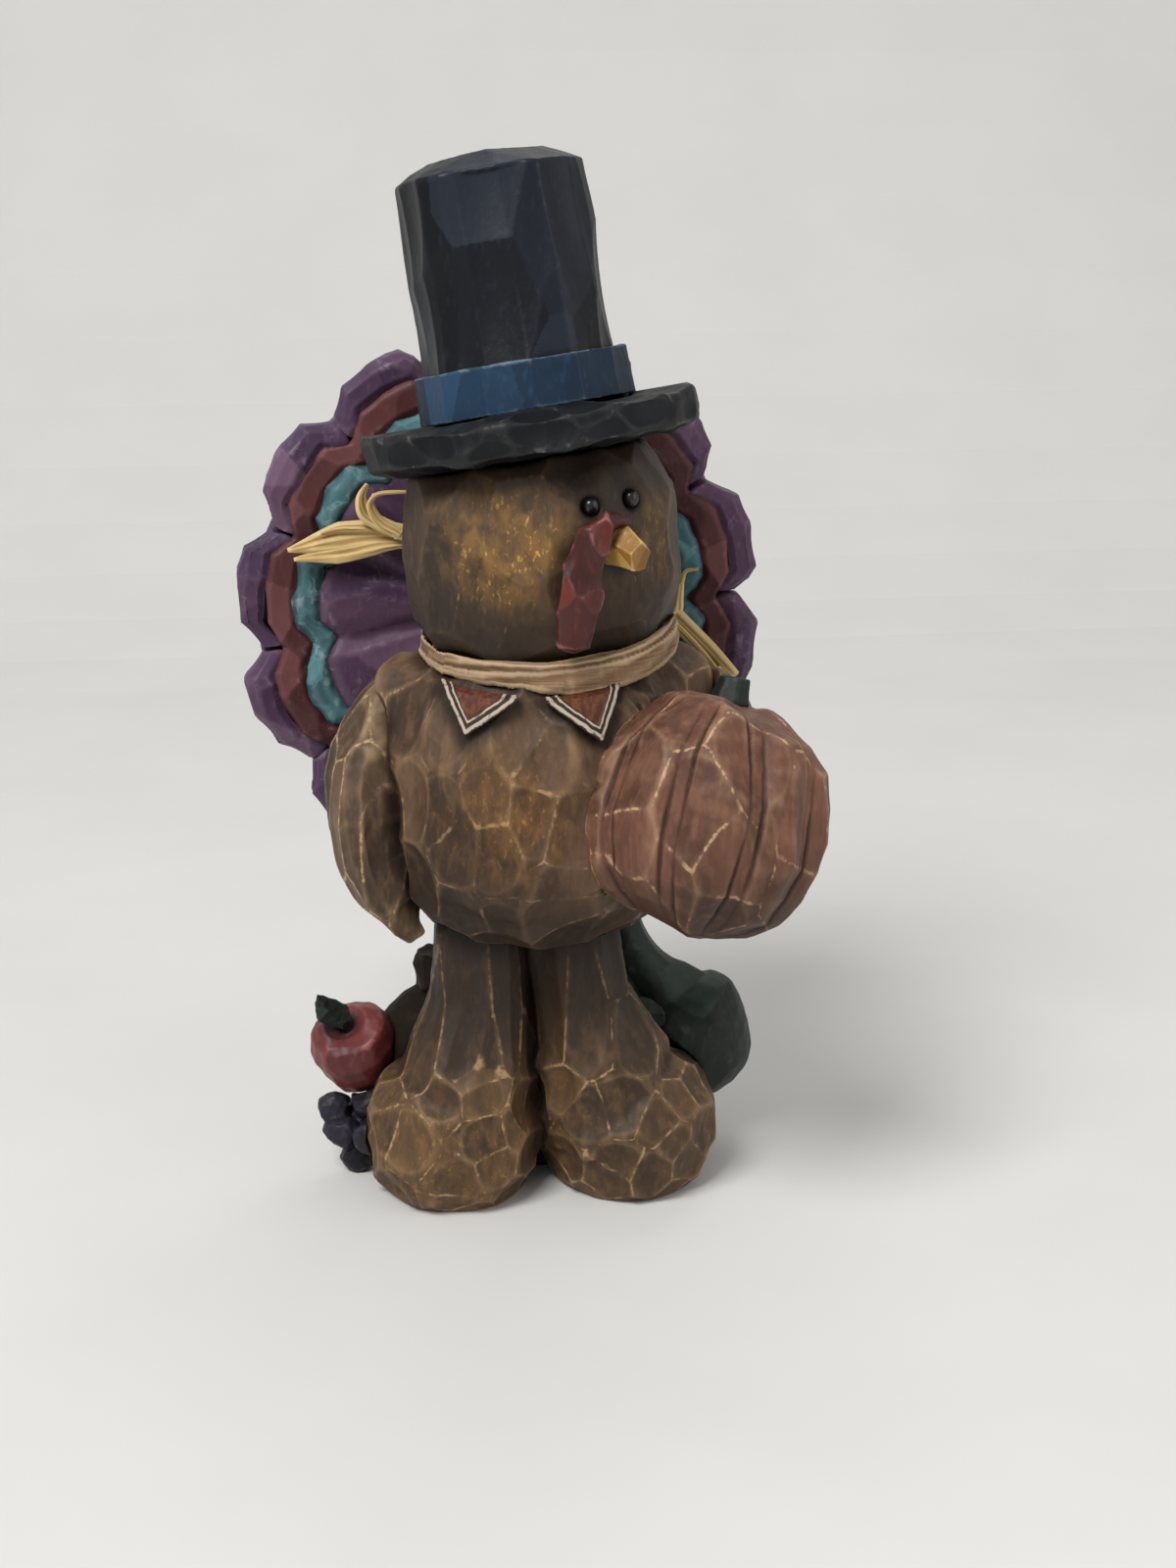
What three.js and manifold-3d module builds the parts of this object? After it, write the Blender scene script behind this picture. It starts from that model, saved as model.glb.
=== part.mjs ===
// Thanksgiving turkey figure: a carved and painted turkey in a tall hat, with a pumpkin under its wing.
// Millimetres, +Z up. The figure looks along -Y and stands with its soles on z = 0.
// Right and left are the figure's own: right is towards -X and left is towards +X.
// All places below count from the line between the feet. The part's origin is the middle of its footprint.
import * as THREE from "three";
import { mergeVertices } from "three/addons/utils/BufferGeometryUtils.js";
import Module from "manifold-3d";

const wasm = await Module();
wasm.setup();

// Seats
const GAP = 0.3; // air between two pieces that are glued together
const CUT_REACH = 200; // how far a cutting block runs, past every piece of the figure

// The middle of the footprint, seen from above
const FOOTPRINT_X = -3.08;
const FOOTPRINT_Y = -4.87;

// Body, a barrel-like egg on two legs
const BODY_WIDTH = 63;
const BODY_DEPTH = 64;
const BODY_TALL = 64;
const BODY_LIFT = 55; // from the ground to the lowest point of the belly
const BODY_FULLNESS = 2.8; // 2 is an ellipse, a higher number is nearer a barrel
const NECK_X = 2.6;
const NECK_Y = -1;
const NECK_DROP = 6; // how far the flat neck seat lies below the top of the uncut egg

// Legs and feet, one each side of the middle
const LEG_TOP_WIDTH = 19.6;
const LEG_TOP_DEPTH = 21;
const LEG_Y = -3;
const HIP_X = -2.7; // the legs part here under the belly, and at x = 0 on the ground
const FOOT_WIDTH = 36.4;
const FOOT_LENGTH = 36;
const FOOT_TALL = 33;
const FOOT_SOLE_CUT = 4; // how much of the uncut foot egg the flat sole takes away
const FOOT_X = 18.2;
const FOOT_Y = -3.5;
const FOOT_FULLNESS = 2.5;
const ANKLE_WIDTH = 33;

// Head, set on the neck, leaning to the figure's right and turned to its left
const HEAD_WIDTH = 55.4;
const HEAD_DEPTH = 52;
const HEAD_TALL = 53;
const HEAD_CENTRE_LIFT = 21; // from the neck seat to the middle of the uncut egg
const HEAD_FULLNESS = 2.7;
const HEAD_LEAN = 4; // degrees
const HEAD_TURN = 28; // degrees

// Face
const EYE_RADIUS = 1.9;
const EYE_SPREAD = 10.3; // degrees each side of the beak
const EYE_LIFT = 11.2; // above the middle of the head
const EYE_SINK = 0.5; // how deep the bead's middle lies under the head's surface
const BEAK_LENGTH = 8.5;
const BEAK_WIDTH = 7.6;
const BEAK_TALL = 8.4;
const BEAK_LIFT = 3.2;
const SNOOD_WIDTH = 9.6;
const SNOOD_THICK = 5.4;
const SNOOD_TOP_LIFT = 8.2;
const SNOOD_END_LIFT = -15;
const SNOOD_SWING = 22.5; // degrees from the beak to where it hangs

// Hat: a tall crown, a band at its foot and a thick brim
const HAT_LEAN = 8.5; // degrees, to the figure's right
const HAT_TIP_BACK = 8; // degrees, the front of the brim is raised
const HAT_SEAT_LIFT = 39.5; // from the neck seat to the brim's underside, along the head's axis
const BRIM_RADIUS = 32.8;
const BRIM_DEPTH_RADIUS = 30.5;
const BRIM_THICK = 8.2;
const BRIM_EDGE_THICK = 6.4;
const BRIM_WAVE = 1.3; // how far the rim rises and falls
const CROWN_FOOT_RADIUS = 19.7;
const CROWN_TOP_RADIUS = 18.2;
const CROWN_HEIGHT = 45; // up to the edge of the top
const CROWN_DOME = 3.6; // how far the middle of the top stands above its edge
const BAND_HEIGHT = 9.6;
const BAND_THICK = 0.9;

// Collar: two pointed flaps that lie on the chest
const COLLAR_THICK = 1.7;
const COLLAR_TOP_DROP = 1.5; // from the middle of the tie's front down to the hidden top edge
const COLLAR_TIP_DROP = 11; // and down to the tips
const COLLAR_MIDDLE_X = -4.4;
const COLLAR_FLAP_WIDTH = 17;
const COLLAR_TIP_SHIFT = 12.6; // from the middle to each tip
const COLLAR_NOTCH_DROP = 1.2; // from the top to the point where the flaps part

// Raffia tied round the neck
const RAFFIA_WIDTH = 6.4;
const RAFFIA_THICK = 3.2;
const RAFFIA_LIFT = 4.4; // from the neck seat to the middle of the strip
const RAFFIA_DROOP = 10; // degrees, the front hangs lower
const RAFFIA_PROUD = 0.7; // how far the strip stands off the sides of the head
const RAFFIA_DEPTH_PROUD = 2.2; // and off its front and back
const KNOT_WIDTH = 9;
const KNOT_TALL = 8;
const STRAND_THICK = 1.1;
const TAIL_RIGHT_WIDTH = 7.4;
const CURL_RIGHT_WIDTH = 4.2;
const TAIL_LEFT_WIDTH = 5.6;
const SPRIG_LEFT_WIDTH = 4;

// Wings
const WING_RIGHT_WIDTH = 27;
const WING_RIGHT_THICK = 14;
const WING_RIGHT_TOP_Z = 104.9;
const WING_RIGHT_HANG = 48.2; // from its top to its tip
const WING_LEFT_WIDTH = 27;
const WING_LEFT_THICK = 10;
const WING_LEFT_ROOT_Z = 95;
const WING_LEFT_PROUD = 2.2; // how far it stands off the pumpkin that it holds

// Pumpkin, held against the left side of the belly
const PUMPKIN_WIDTH = 47.6;
const PUMPKIN_TALL = 47.5;
const PUMPKIN_LIFT = 86; // from the ground to its middle
const PUMPKIN_SIDE = 46.5; // degrees from straight ahead, round the body
const PUMPKIN_SINK = 14.5; // how far it is let in where it meets the belly
const PUMPKIN_LEAN = 13; // degrees, its stem leans to the figure's left
const PUMPKIN_TIP = -9; // degrees, its stem leans to the back
const PUMPKIN_RIBS = 9;
const PUMPKIN_GROOVE = 1.9;
const PUMPKIN_DIMPLE = 2.6; // how deep the hollow round the stem is
const STEM_LENGTH = 5.6;
const STEM_WIDTH = 8.4;

// Tail fan: a core with a back plate, two coloured bands and a row of feather tips
const FAN_X = -3.4;
const FAN_Z = 114.5;
const FAN_START = -82; // degrees, where the lowest feather on the figure's left begins
const FAN_FRONT = 31; // from the figure's middle to the plane that the bands' faces lie in
const FAN_LOBES = 12;
const FAN_LOBE_ANGLE = 28; // degrees
const FAN_RADIUS = 56; // sideways
const FAN_TALL_RADIUS = 59.2; // upwards
const FAN_NOTCH = 5.2; // how far the outline dips between two feathers
const TIP_LENGTH = 5.9;
const MAROON_WIDTH = 6;
const TEAL_WIDTH = 4.8;
const BAND_DEPTH = 6.5; // from the face of a band to the back plate
const PLATE_THICK = 4.5;
const TIP_BEVEL = 1.8;
const BAND_BEVEL = 0.9;
const CORE_RELIEF = 1.8; // how far the core's lobes swell between their grooves
const HUB_INSET = 0.8; // from the core's deepest dip in to the round hub that closes the fan at the back

// Harvest behind the feet: a low pile with a gourd, an apple, grapes and a squash on it
const PILE_WIDTH = 50;
const PILE_DEPTH = 22;
const PILE_TALL = 16;
const PILE_Y = 14;
const GOURD_WIDTH = 28;
const GOURD_DEPTH = 23;
const GOURD_TALL = 36;
const GOURD_X = -20;
const GOURD_Y = 15;
const GOURD_Z = 21;
const GOURD_STALK_WIDTH = 9.6;
const GOURD_STALK_TOP_Z = 45.5;
const APPLE_WIDTH = 18.8;
const APPLE_TALL = 17.8;
const APPLE_X = -37.2;
const APPLE_Y = 12;
const APPLE_Z = 25.4;
const APPLE_DIMPLE = 3.2;
const APPLE_TIP = 20; // degrees, its top tips to the figure's right
const APPLE_BOW = 24; // degrees, its top tips to the front
const APPLE_LEAF_LENGTH = 12.5;
const APPLE_LEAF_WIDTH = 7;
const APPLE_LEAF_THICK = 1.8;
const APPLE_LEAF_RISE = 102; // degrees, from flat across the apple
const GRAPE_WIDTH = 7.6;
const GRAPES_X = -38.5;
const GRAPES_Y = 7;
const SQUASH_WIDTH = 31;
const SQUASH_DEPTH = 26;
const SQUASH_TALL = 26;
const SQUASH_X = 32.5;
const SQUASH_Y = 15;
const SQUASH_Z = 22;
const SQUASH_NECK_WIDTH = 9;
const SQUASH_NECK_X = 17.5;
const SQUASH_NECK_TOP_Z = 53;
const SQUASH_LEAF_LENGTH = 10;
const SQUASH_LEAF_WIDTH = 6.4;
const SQUASH_LEAF_THICK = 1.8;
const SQUASH_LEAF_X = 21.5;
const SQUASH_LEAF_Y = 5;
const SQUASH_LEAF_Z = 36;
const SQUASH_LEAF_DROOP = 54; // degrees below level

const rad = THREE.MathUtils.degToRad;
const vec = (x, y, z) => new THREE.Vector3(x, y, z);

// A piece's own frame in the figure: its turn about Z first, then its tips about X and Y, then its place.
function frameAt(place, tipX = 0, tipY = 0, turnZ = 0) {
  const turn = new THREE.Quaternion().setFromEuler(new THREE.Euler(tipX, tipY, turnZ, "YXZ"));
  return new THREE.Matrix4().compose(place, turn, vec(1, 1, 1));
}

// The same frame, moved along its own Z.
const raised = (frame, height) => frame.clone().multiply(new THREE.Matrix4().makeTranslation(0, 0, height));

// Shared corners become one, and triangles that close up to nothing at a pole are left out.
function weld(geometry) {
  geometry.deleteAttribute("normal");
  geometry.deleteAttribute("uv");
  const welded = mergeVertices(geometry);
  const corners = Array.from(welded.index.array);
  const kept = [];
  for (let i = 0; i < corners.length; i += 3) {
    const [a, b, c] = corners.slice(i, i + 3);
    if (a !== b && b !== c && c !== a) kept.push(a, b, c);
  }
  return welded.setIndex(kept);
}

function solidOf(geometry, frame) {
  const whole = weld(geometry).applyMatrix4(frame);
  return new wasm.Manifold(
    new wasm.Mesh({
      numProp: 3,
      vertProperties: whole.getAttribute("position").array,
      triVerts: Uint32Array.from(whole.index.array),
    }),
  );
}

// A block whose underside lies on the frame's XY plane. Taking it away trims what stands above.
function blockAbove(frame) {
  const block = new THREE.BoxGeometry(2 * CUT_REACH, 2 * CUT_REACH, CUT_REACH);
  return solidOf(block.translate(0, 0, CUT_REACH / 2), frame);
}

// Each neighbour is a function that gives its own form, grown by the gap that the seat keeps.
function seat(solid, ...neighbours) {
  return neighbours.reduce((left, neighbour) => left.subtract(neighbour(GAP)), solid);
}

const figure = new THREE.Group();

function addPiece(name, solid, frame, finish) {
  const { vertProperties, triVerts } = solid.getMesh();
  const geometry = new THREE.BufferGeometry();
  geometry.setAttribute("position", new THREE.BufferAttribute(vertProperties, 3));
  geometry.setIndex(new THREE.BufferAttribute(triVerts, 1));
  geometry.applyMatrix4(frame.clone().invert());
  const mesh = new THREE.Mesh(geometry, finish);
  mesh.name = name;
  mesh.applyMatrix4(frame);
  mesh.applyMatrix4(new THREE.Matrix4().makeTranslation(-FOOTPRINT_X, -FOOTPRINT_Y, 0));
  figure.add(mesh);
}

function paint(color, roughness) {
  return new THREE.MeshStandardMaterial({ color, roughness, metalness: 0, flatShading: true });
}

const BROWN = paint(0x5a4028, 0.62);
const FOOT_BROWN = paint(0x755334, 0.62);
const BLACK = paint(0x1b1d22, 0.5);
const BLUE = paint(0x1d3d5e, 0.5);
const BEAD = paint(0x0b0a0a, 0.2);
const RED = paint(0x8a2a28, 0.5);
const YELLOW = paint(0xc79a45, 0.5);
const RUST = paint(0x7c4124, 0.6);
const STRAW = paint(0xb89a6c, 0.8);
const PUMPKIN = paint(0x6b3b28, 0.6);
const GREEN = paint(0x26382a, 0.55);
const PURPLE = paint(0x5b3a56, 0.55);
const MAROON = paint(0x6e2f2c, 0.55);
const TEAL = paint(0x4f8f8e, 0.55);
const APPLE_RED = paint(0x87312d, 0.5);
const GRAPE = paint(0x2a2430, 0.5);
const OLIVE = paint(0x34331f, 0.6);
const HUSK = paint(0x3b2c20, 0.7);

const ROUND = 2; // the fullness of a plain ellipse

// A repeatable scatter between -1 and 1, so that no two tool marks are alike.
const SCATTER_STEP = 2.39996;
const scatter = (i, seed) => Math.sin(i * i * SCATTER_STEP + seed);

// How wide an egg is, as a share of its greatest width, at a share of its half height.
function eggShare(heightShare, fullness) {
  return Math.max(0, 1 - Math.abs(heightShare) ** fullness) ** (1 / fullness);
}

// A faceted egg, as a knife leaves it. Its width narrows by the taper towards the top.
function carvedEgg({ wide, deep, tall, fullness, taperShare = 0, toolShare = 0, seed = 0, detail }, grow) {
  const egg = weld(new THREE.IcosahedronGeometry(1, detail));
  const at = egg.getAttribute("position");
  const v = vec(0, 0, 0);
  for (let i = 0; i < at.count; i++) {
    v.fromBufferAttribute(at, i);
    const round = (Math.hypot(v.x, v.y) ** fullness + Math.abs(v.z) ** fullness) ** (-1 / fullness);
    v.multiplyScalar(round * (1 + toolShare * scatter(i, seed)));
    const girth = 1 - taperShare * v.z;
    at.setXYZ(
      i,
      v.x * girth * (wide / 2 + grow),
      v.y * girth * (deep / 2 + grow),
      v.z * (tall / 2 + grow),
    );
  }
  return egg;
}

// A tapering limb along a smooth path. The width of its section lies along `across`.
function limb({ path, widths, thicks, across, steps, sides }, grow) {
  const curve = new THREE.CatmullRomCurve3(path);
  const sizeAt = (sizes, t) => {
    const place = t * (sizes.length - 1);
    const i = Math.min(Math.floor(place), sizes.length - 2);
    return THREE.MathUtils.lerp(sizes[i], sizes[i + 1], place - i) / 2 + grow;
  };
  const points = [];
  for (let k = 0; k <= steps; k++) {
    const t = k / steps;
    const along = curve.getTangent(t);
    const side = across.clone().addScaledVector(along, -across.dot(along)).normalize();
    const out = along.clone().cross(side);
    const middle = curve.getPoint(t);
    if (k === 0) middle.addScaledVector(along, -grow);
    if (k === steps) middle.addScaledVector(along, grow);
    for (let j = 0; j < sides; j++) {
      const angle = (j / sides) * 2 * Math.PI;
      points.push(
        middle
          .clone()
          .addScaledVector(side, Math.cos(angle) * sizeAt(widths, t))
          .addScaledVector(out, Math.sin(angle) * sizeAt(thicks, t)),
      );
    }
  }
  const index = [];
  for (let k = 0; k < steps; k++) {
    for (let j = 0; j < sides; j++) {
      const a = k * sides + j;
      const b = k * sides + ((j + 1) % sides);
      index.push(a, b, b + sides, a, b + sides, a + sides);
    }
  }
  const last = steps * sides;
  for (let j = 1; j < sides - 1; j++) {
    index.push(0, j + 1, j);
    index.push(last, last + j, last + j + 1);
  }
  return new THREE.BufferGeometry().setFromPoints(points).setIndex(index);
}

// A plate between two grids of points, front[column][row] and back[column][row].
function plate(front, back) {
  const columns = front.length;
  const rows = front[0].length;
  const points = [...front.flat(), ...back.flat()];
  const behind = columns * rows;
  const id = (c, r) => c * rows + r;
  const index = [];
  const quad = (a, b, c, d) => index.push(a, b, c, a, c, d);
  for (let c = 0; c < columns - 1; c++) {
    for (let r = 0; r < rows - 1; r++) {
      quad(id(c, r), id(c, r + 1), id(c + 1, r + 1), id(c + 1, r));
      quad(
        behind + id(c, r),
        behind + id(c + 1, r),
        behind + id(c + 1, r + 1),
        behind + id(c, r + 1),
      );
    }
    quad(id(c, 0), id(c + 1, 0), behind + id(c + 1, 0), behind + id(c, 0));
    quad(id(c + 1, rows - 1), id(c, rows - 1), behind + id(c, rows - 1), behind + id(c + 1, rows - 1));
  }
  for (let r = 0; r < rows - 1; r++) {
    quad(id(0, r + 1), id(0, r), behind + id(0, r), behind + id(0, r + 1));
    const c = columns - 1;
    quad(id(c, r), id(c, r + 1), behind + id(c, r + 1), behind + id(c, r));
  }
  return new THREE.BufferGeometry().setFromPoints(points).setIndex(index);
}

// A turned shape about Z. The outline runs from the foot of the axis to its top.
function turned(outline, sides) {
  const points = outline.map(([radius, height]) => new THREE.Vector2(radius, height));
  return new THREE.LatheGeometry(points, sides).rotateX(Math.PI / 2);
}

// Body
const bodyCentre = vec(0, 0, BODY_LIFT + BODY_TALL / 2);
const bodyFrame = frameAt(bodyCentre);
const neck = vec(NECK_X, NECK_Y, BODY_LIFT + BODY_TALL - NECK_DROP);
const neckFrame = frameAt(neck, 0, -rad(HEAD_LEAN));
const backFrame = frameAt(vec(0, FAN_FRONT - GAP, 0), -Math.PI / 2);
const BODY_TAPER_SHARE = 0.05;
const TOOL_SHARE = 0.012;

function bodyForm(grow) {
  const egg = {
    wide: BODY_WIDTH,
    deep: BODY_DEPTH,
    tall: BODY_TALL,
    fullness: BODY_FULLNESS,
    taperShare: BODY_TAPER_SHARE,
    toolShare: TOOL_SHARE,
    detail: 4,
  };
  return solidOf(carvedEgg(egg, grow), bodyFrame);
}

// A point beside the body: at an angle from straight ahead, a height and a distance off its skin.
function besideBody(angle, height, off) {
  const share = eggShare((height - bodyCentre.z) / (BODY_TALL / 2), BODY_FULLNESS);
  return vec(
    Math.sin(rad(angle)) * ((BODY_WIDTH / 2) * share + off),
    -Math.cos(rad(angle)) * ((BODY_DEPTH / 2) * share + off),
    height,
  );
}

function addBody() {
  const body = bodyForm(0).subtract(blockAbove(neckFrame)).subtract(blockAbove(backFrame));
  addPiece("body", body, bodyFrame, BROWN);
}

// Legs and feet
const footLift = FOOT_TALL / 2 - FOOT_SOLE_CUT;
const groundFrame = frameAt(vec(0, 0, 0), Math.PI);
const LEG_WIDTH_SHARES = [1, 0.64, 0.1, 0, 0, 0]; // from the ankle's width to the top's
const LEG_SIDES = 12;

function legForm(side, grow) {
  const foot = {
    wide: FOOT_WIDTH,
    deep: FOOT_LENGTH,
    tall: FOOT_TALL,
    fullness: FOOT_FULLNESS,
    toolShare: TOOL_SHARE,
    seed: side,
    detail: 3,
  };
  const footFrame = frameAt(vec(side * FOOT_X, FOOT_Y, footLift));
  const between = (top, foot) => LEG_WIDTH_SHARES.map((share) => THREE.MathUtils.lerp(top, foot, share));
  const widths = between(LEG_TOP_WIDTH, ANKLE_WIDTH);
  const shaft = {
    path: LEG_WIDTH_SHARES.map((share, i) => {
      const z = THREE.MathUtils.lerp(footLift, bodyCentre.z, i / (LEG_WIDTH_SHARES.length - 1));
      const middle = (HIP_X * z) / BODY_LIFT;
      return vec(middle + side * (widths[i] / 2 - GAP), THREE.MathUtils.lerp(LEG_Y, FOOT_Y, share), z);
    }),
    widths,
    thicks: between(LEG_TOP_DEPTH, FOOT_LENGTH),
    across: vec(1, 0, 0),
    steps: 10,
    sides: LEG_SIDES,
  };
  return solidOf(carvedEgg(foot, grow), footFrame)
    .add(solidOf(limb(shaft, grow), new THREE.Matrix4()))
    .subtract(blockAbove(groundFrame));
}

const rightLegForm = (grow) => legForm(-1, grow);
const leftLegForm = (grow) => legForm(1, grow);

function addLeg(name, side) {
  const sway = Math.atan2(HIP_X, BODY_LIFT);
  const middleFrame = frameAt(vec((side * GAP) / 2, 0, 0), 0, sway - (side * Math.PI) / 2);
  const leg = seat(legForm(side, 0).subtract(blockAbove(middleFrame)), bodyForm);
  addPiece(name, leg, frameAt(vec(side * FOOT_X, FOOT_Y, 0)), FOOT_BROWN);
}

// Hat, whose underside is also the plane that the head is cut to
const headAxis = vec(-Math.sin(rad(HEAD_LEAN)), 0, Math.cos(rad(HEAD_LEAN)));
const hatSeat = neck.clone().addScaledVector(headAxis, HAT_SEAT_LIFT);
const hatFrame = frameAt(hatSeat, -rad(HAT_TIP_BACK), -rad(HAT_LEAN));
const CROWN_SIDES = 14;
const BRIM_SIDES = 26;
const CROWN_TOOL_SHARE = 0.018;
const CROWN_WAIST_SHARE = 0.55; // height of the middle row of cuts
const DOME_EDGE_SHARE = 0.62; // where the domed top flattens, of its radius
const BRIM_WAVES = 2;

const crownFoot = BRIM_THICK + GAP;
const crownRadiusAt = (share) => THREE.MathUtils.lerp(CROWN_FOOT_RADIUS, CROWN_TOP_RADIUS, share);

function crownForm() {
  const shell = turned(
    [
      [0, crownFoot],
      [CROWN_FOOT_RADIUS, crownFoot],
      [crownRadiusAt(CROWN_WAIST_SHARE), crownFoot + CROWN_HEIGHT * CROWN_WAIST_SHARE],
      [CROWN_TOP_RADIUS, crownFoot + CROWN_HEIGHT],
      [CROWN_TOP_RADIUS * DOME_EDGE_SHARE, crownFoot + CROWN_HEIGHT + CROWN_DOME],
      [0, crownFoot + CROWN_HEIGHT + CROWN_DOME],
    ],
    CROWN_SIDES,
  );
  const crown = weld(shell);
  const at = crown.getAttribute("position");
  for (let i = 0; i < at.count; i++) {
    const cut = 1 + CROWN_TOOL_SHARE * scatter(i, CROWN_SIDES);
    at.setXY(i, at.getX(i) * cut, at.getY(i) * cut);
  }
  return solidOf(crown, hatFrame);
}

// The band has as many flats as the crown and clears its deepest tool marks.
function hatBandForm() {
  const clear = (share) => crownRadiusAt(share) * (1 + CROWN_TOOL_SHARE) + GAP;
  const [inFoot, inTop] = [clear(0), clear(BAND_HEIGHT / CROWN_HEIGHT)];
  const top = BRIM_THICK + BAND_HEIGHT;
  const outline = [
    [inFoot, crownFoot],
    [inFoot + BAND_THICK, crownFoot],
    [inTop + BAND_THICK, top],
    [inTop, top],
    [inFoot, crownFoot],
  ];
  return solidOf(turned(outline, CROWN_SIDES), hatFrame);
}

function brimForm() {
  const rim = (BRIM_THICK - BRIM_EDGE_THICK) / 2;
  const brim = weld(
    turned(
      [
        [0, 0],
        [HEAD_WIDTH / 2, 0],
        [BRIM_RADIUS, rim],
        [BRIM_RADIUS, rim + BRIM_EDGE_THICK],
        [HEAD_WIDTH / 2, BRIM_THICK],
        [0, BRIM_THICK],
      ],
      BRIM_SIDES,
    ),
  );
  const at = brim.getAttribute("position");
  for (let i = 0; i < at.count; i++) {
    const [x, y] = [at.getX(i), at.getY(i)];
    const onRim = Math.hypot(x, y) > HEAD_WIDTH / 2 + GAP;
    const wave = Math.cos(BRIM_WAVES * Math.atan2(y, x)) + scatter(i, BRIM_SIDES) / BRIM_WAVES;
    const lift = onRim ? (BRIM_WAVE * wave) / BRIM_WAVES : 0;
    at.setXYZ(i, x, (y * BRIM_DEPTH_RADIUS) / BRIM_RADIUS, at.getZ(i) + lift);
  }
  return solidOf(brim, hatFrame);
}

function addHat() {
  addPiece("hat_brim", brimForm(), hatFrame, BLACK);
  addPiece("hat_crown", crownForm(), raised(hatFrame, BRIM_THICK), BLACK);
  addPiece("hat_band", hatBandForm(), raised(hatFrame, BRIM_THICK), BLUE);
}

// Head and face
const headFrame = frameAt(neck, 0, -rad(HEAD_LEAN), rad(HEAD_TURN));
const inHead = (point) => point.clone().applyMatrix4(headFrame);
const headCentreFrame = raised(headFrame, HEAD_CENTRE_LIFT);

function headForm(grow) {
  const egg = {
    wide: HEAD_WIDTH,
    deep: HEAD_DEPTH,
    tall: HEAD_TALL,
    fullness: HEAD_FULLNESS,
    toolShare: TOOL_SHARE,
    seed: HEAD_TURN,
    detail: 4,
  };
  return solidOf(carvedEgg(egg, grow), headCentreFrame);
}

// A point on the face: an angle from the beak, a height from the head's middle, a distance off the skin.
function onFace(angle, height, off) {
  const share = eggShare(height / (HEAD_TALL / 2), HEAD_FULLNESS);
  return vec(
    Math.sin(rad(angle)) * ((HEAD_WIDTH / 2) * share + off),
    -Math.cos(rad(angle)) * ((HEAD_DEPTH / 2) * share + off),
    HEAD_CENTRE_LIFT + height,
  );
}

const eyeFrame = (side) => frameAt(inHead(onFace(side * EYE_SPREAD, EYE_LIFT, -EYE_SINK)));
const EYE_DETAIL = 1;
const eyeForm = (side, grow) => {
  const size = 2 * EYE_RADIUS;
  const bead = { wide: size, deep: size, tall: size, fullness: ROUND, detail: EYE_DETAIL };
  return solidOf(carvedEgg(bead, grow), eyeFrame(side));
};
const rightEyeForm = (grow) => eyeForm(-1, grow);
const leftEyeForm = (grow) => eyeForm(1, grow);

const BEAK_TAPER_SHARES = [1, 0.86, 0.3];

function beakForm(grow) {
  const root = onFace(0, BEAK_LIFT, -GAP);
  const middle = onFace(0, BEAK_LIFT, BEAK_LENGTH / 2);
  const tip = onFace(0, BEAK_LIFT - BEAK_TALL / 4, BEAK_LENGTH);
  const cone = {
    path: [root, middle, tip],
    widths: BEAK_TAPER_SHARES.map((share) => share * BEAK_WIDTH),
    thicks: BEAK_TAPER_SHARES.map((share) => share * BEAK_TALL),
    across: vec(1, 0, 0),
    steps: 4,
    sides: 7,
  };
  return solidOf(limb(cone, grow), headFrame);
}

const SNOOD_SWING_SHARES = [0, 0.5, 0.9, 1, 1.04];
const SNOOD_DROP_SHARES = [0, 0.06, 0.26, 0.62, 1];
const SNOOD_WIDTH_SHARES = [0.5, 0.84, 1, 0.98, 0.7];
const SNOOD_ACROSS = vec(1, 0, 0.6);

function snoodForm(grow) {
  const hang = {
    path: SNOOD_SWING_SHARES.map((swing, i) => {
      const height = THREE.MathUtils.lerp(SNOOD_TOP_LIFT, SNOOD_END_LIFT, SNOOD_DROP_SHARES[i]);
      return onFace(-swing * SNOOD_SWING, height, SNOOD_THICK / 2);
    }),
    widths: SNOOD_WIDTH_SHARES.map((share) => share * SNOOD_WIDTH),
    thicks: SNOOD_WIDTH_SHARES.map((share) => share * SNOOD_THICK),
    across: SNOOD_ACROSS,
    steps: 10,
    sides: 7,
  };
  return solidOf(limb(hang, grow), headFrame);
}

function addHead() {
  const chinFrame = frameAt(neck.clone().addScaledVector(headAxis, GAP), Math.PI, -rad(HEAD_LEAN));
  const head = headForm(0)
    .subtract(blockAbove(chinFrame))
    .subtract(blockAbove(raised(hatFrame, -GAP)));
  addPiece("head", seat(head, rightEyeForm, leftEyeForm), headFrame, BROWN);
  addPiece("eye_right", rightEyeForm(0), eyeFrame(-1), BEAD);
  addPiece("eye_left", leftEyeForm(0), eyeFrame(1), BEAD);
  addPiece("snood", seat(snoodForm(0), headForm, raffiaForm), headFrame, RED);
  addPiece("beak", seat(beakForm(0), headForm, snoodForm), headFrame, YELLOW);
}

// Raffia
const raffiaFrame = frameAt(
  neck.clone().addScaledVector(headAxis, RAFFIA_LIFT),
  rad(RAFFIA_DROOP),
  -rad(HEAD_LEAN),
);
const tieHeightShare = (HEAD_CENTRE_LIFT - RAFFIA_LIFT) / (HEAD_TALL / 2);
const tieHeadShare = eggShare(tieHeightShare, HEAD_FULLNESS);
const tieRadius = (HEAD_WIDTH / 2) * tieHeadShare + RAFFIA_PROUD;
const tieDepthRadius = (HEAD_DEPTH / 2) * tieHeadShare + RAFFIA_DEPTH_PROUD;
// The tie is turned with the head, so its reach straight ahead and straight back lies between its radii.
const tieReach =
  1 / Math.hypot(Math.sin(rad(HEAD_TURN)) / tieRadius, Math.cos(rad(HEAD_TURN)) / tieDepthRadius);
const tieFrontZ = neck.z + RAFFIA_LIFT * headAxis.z - tieReach * Math.sin(rad(RAFFIA_DROOP));
const RAFFIA_SIDES = 28;

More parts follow.
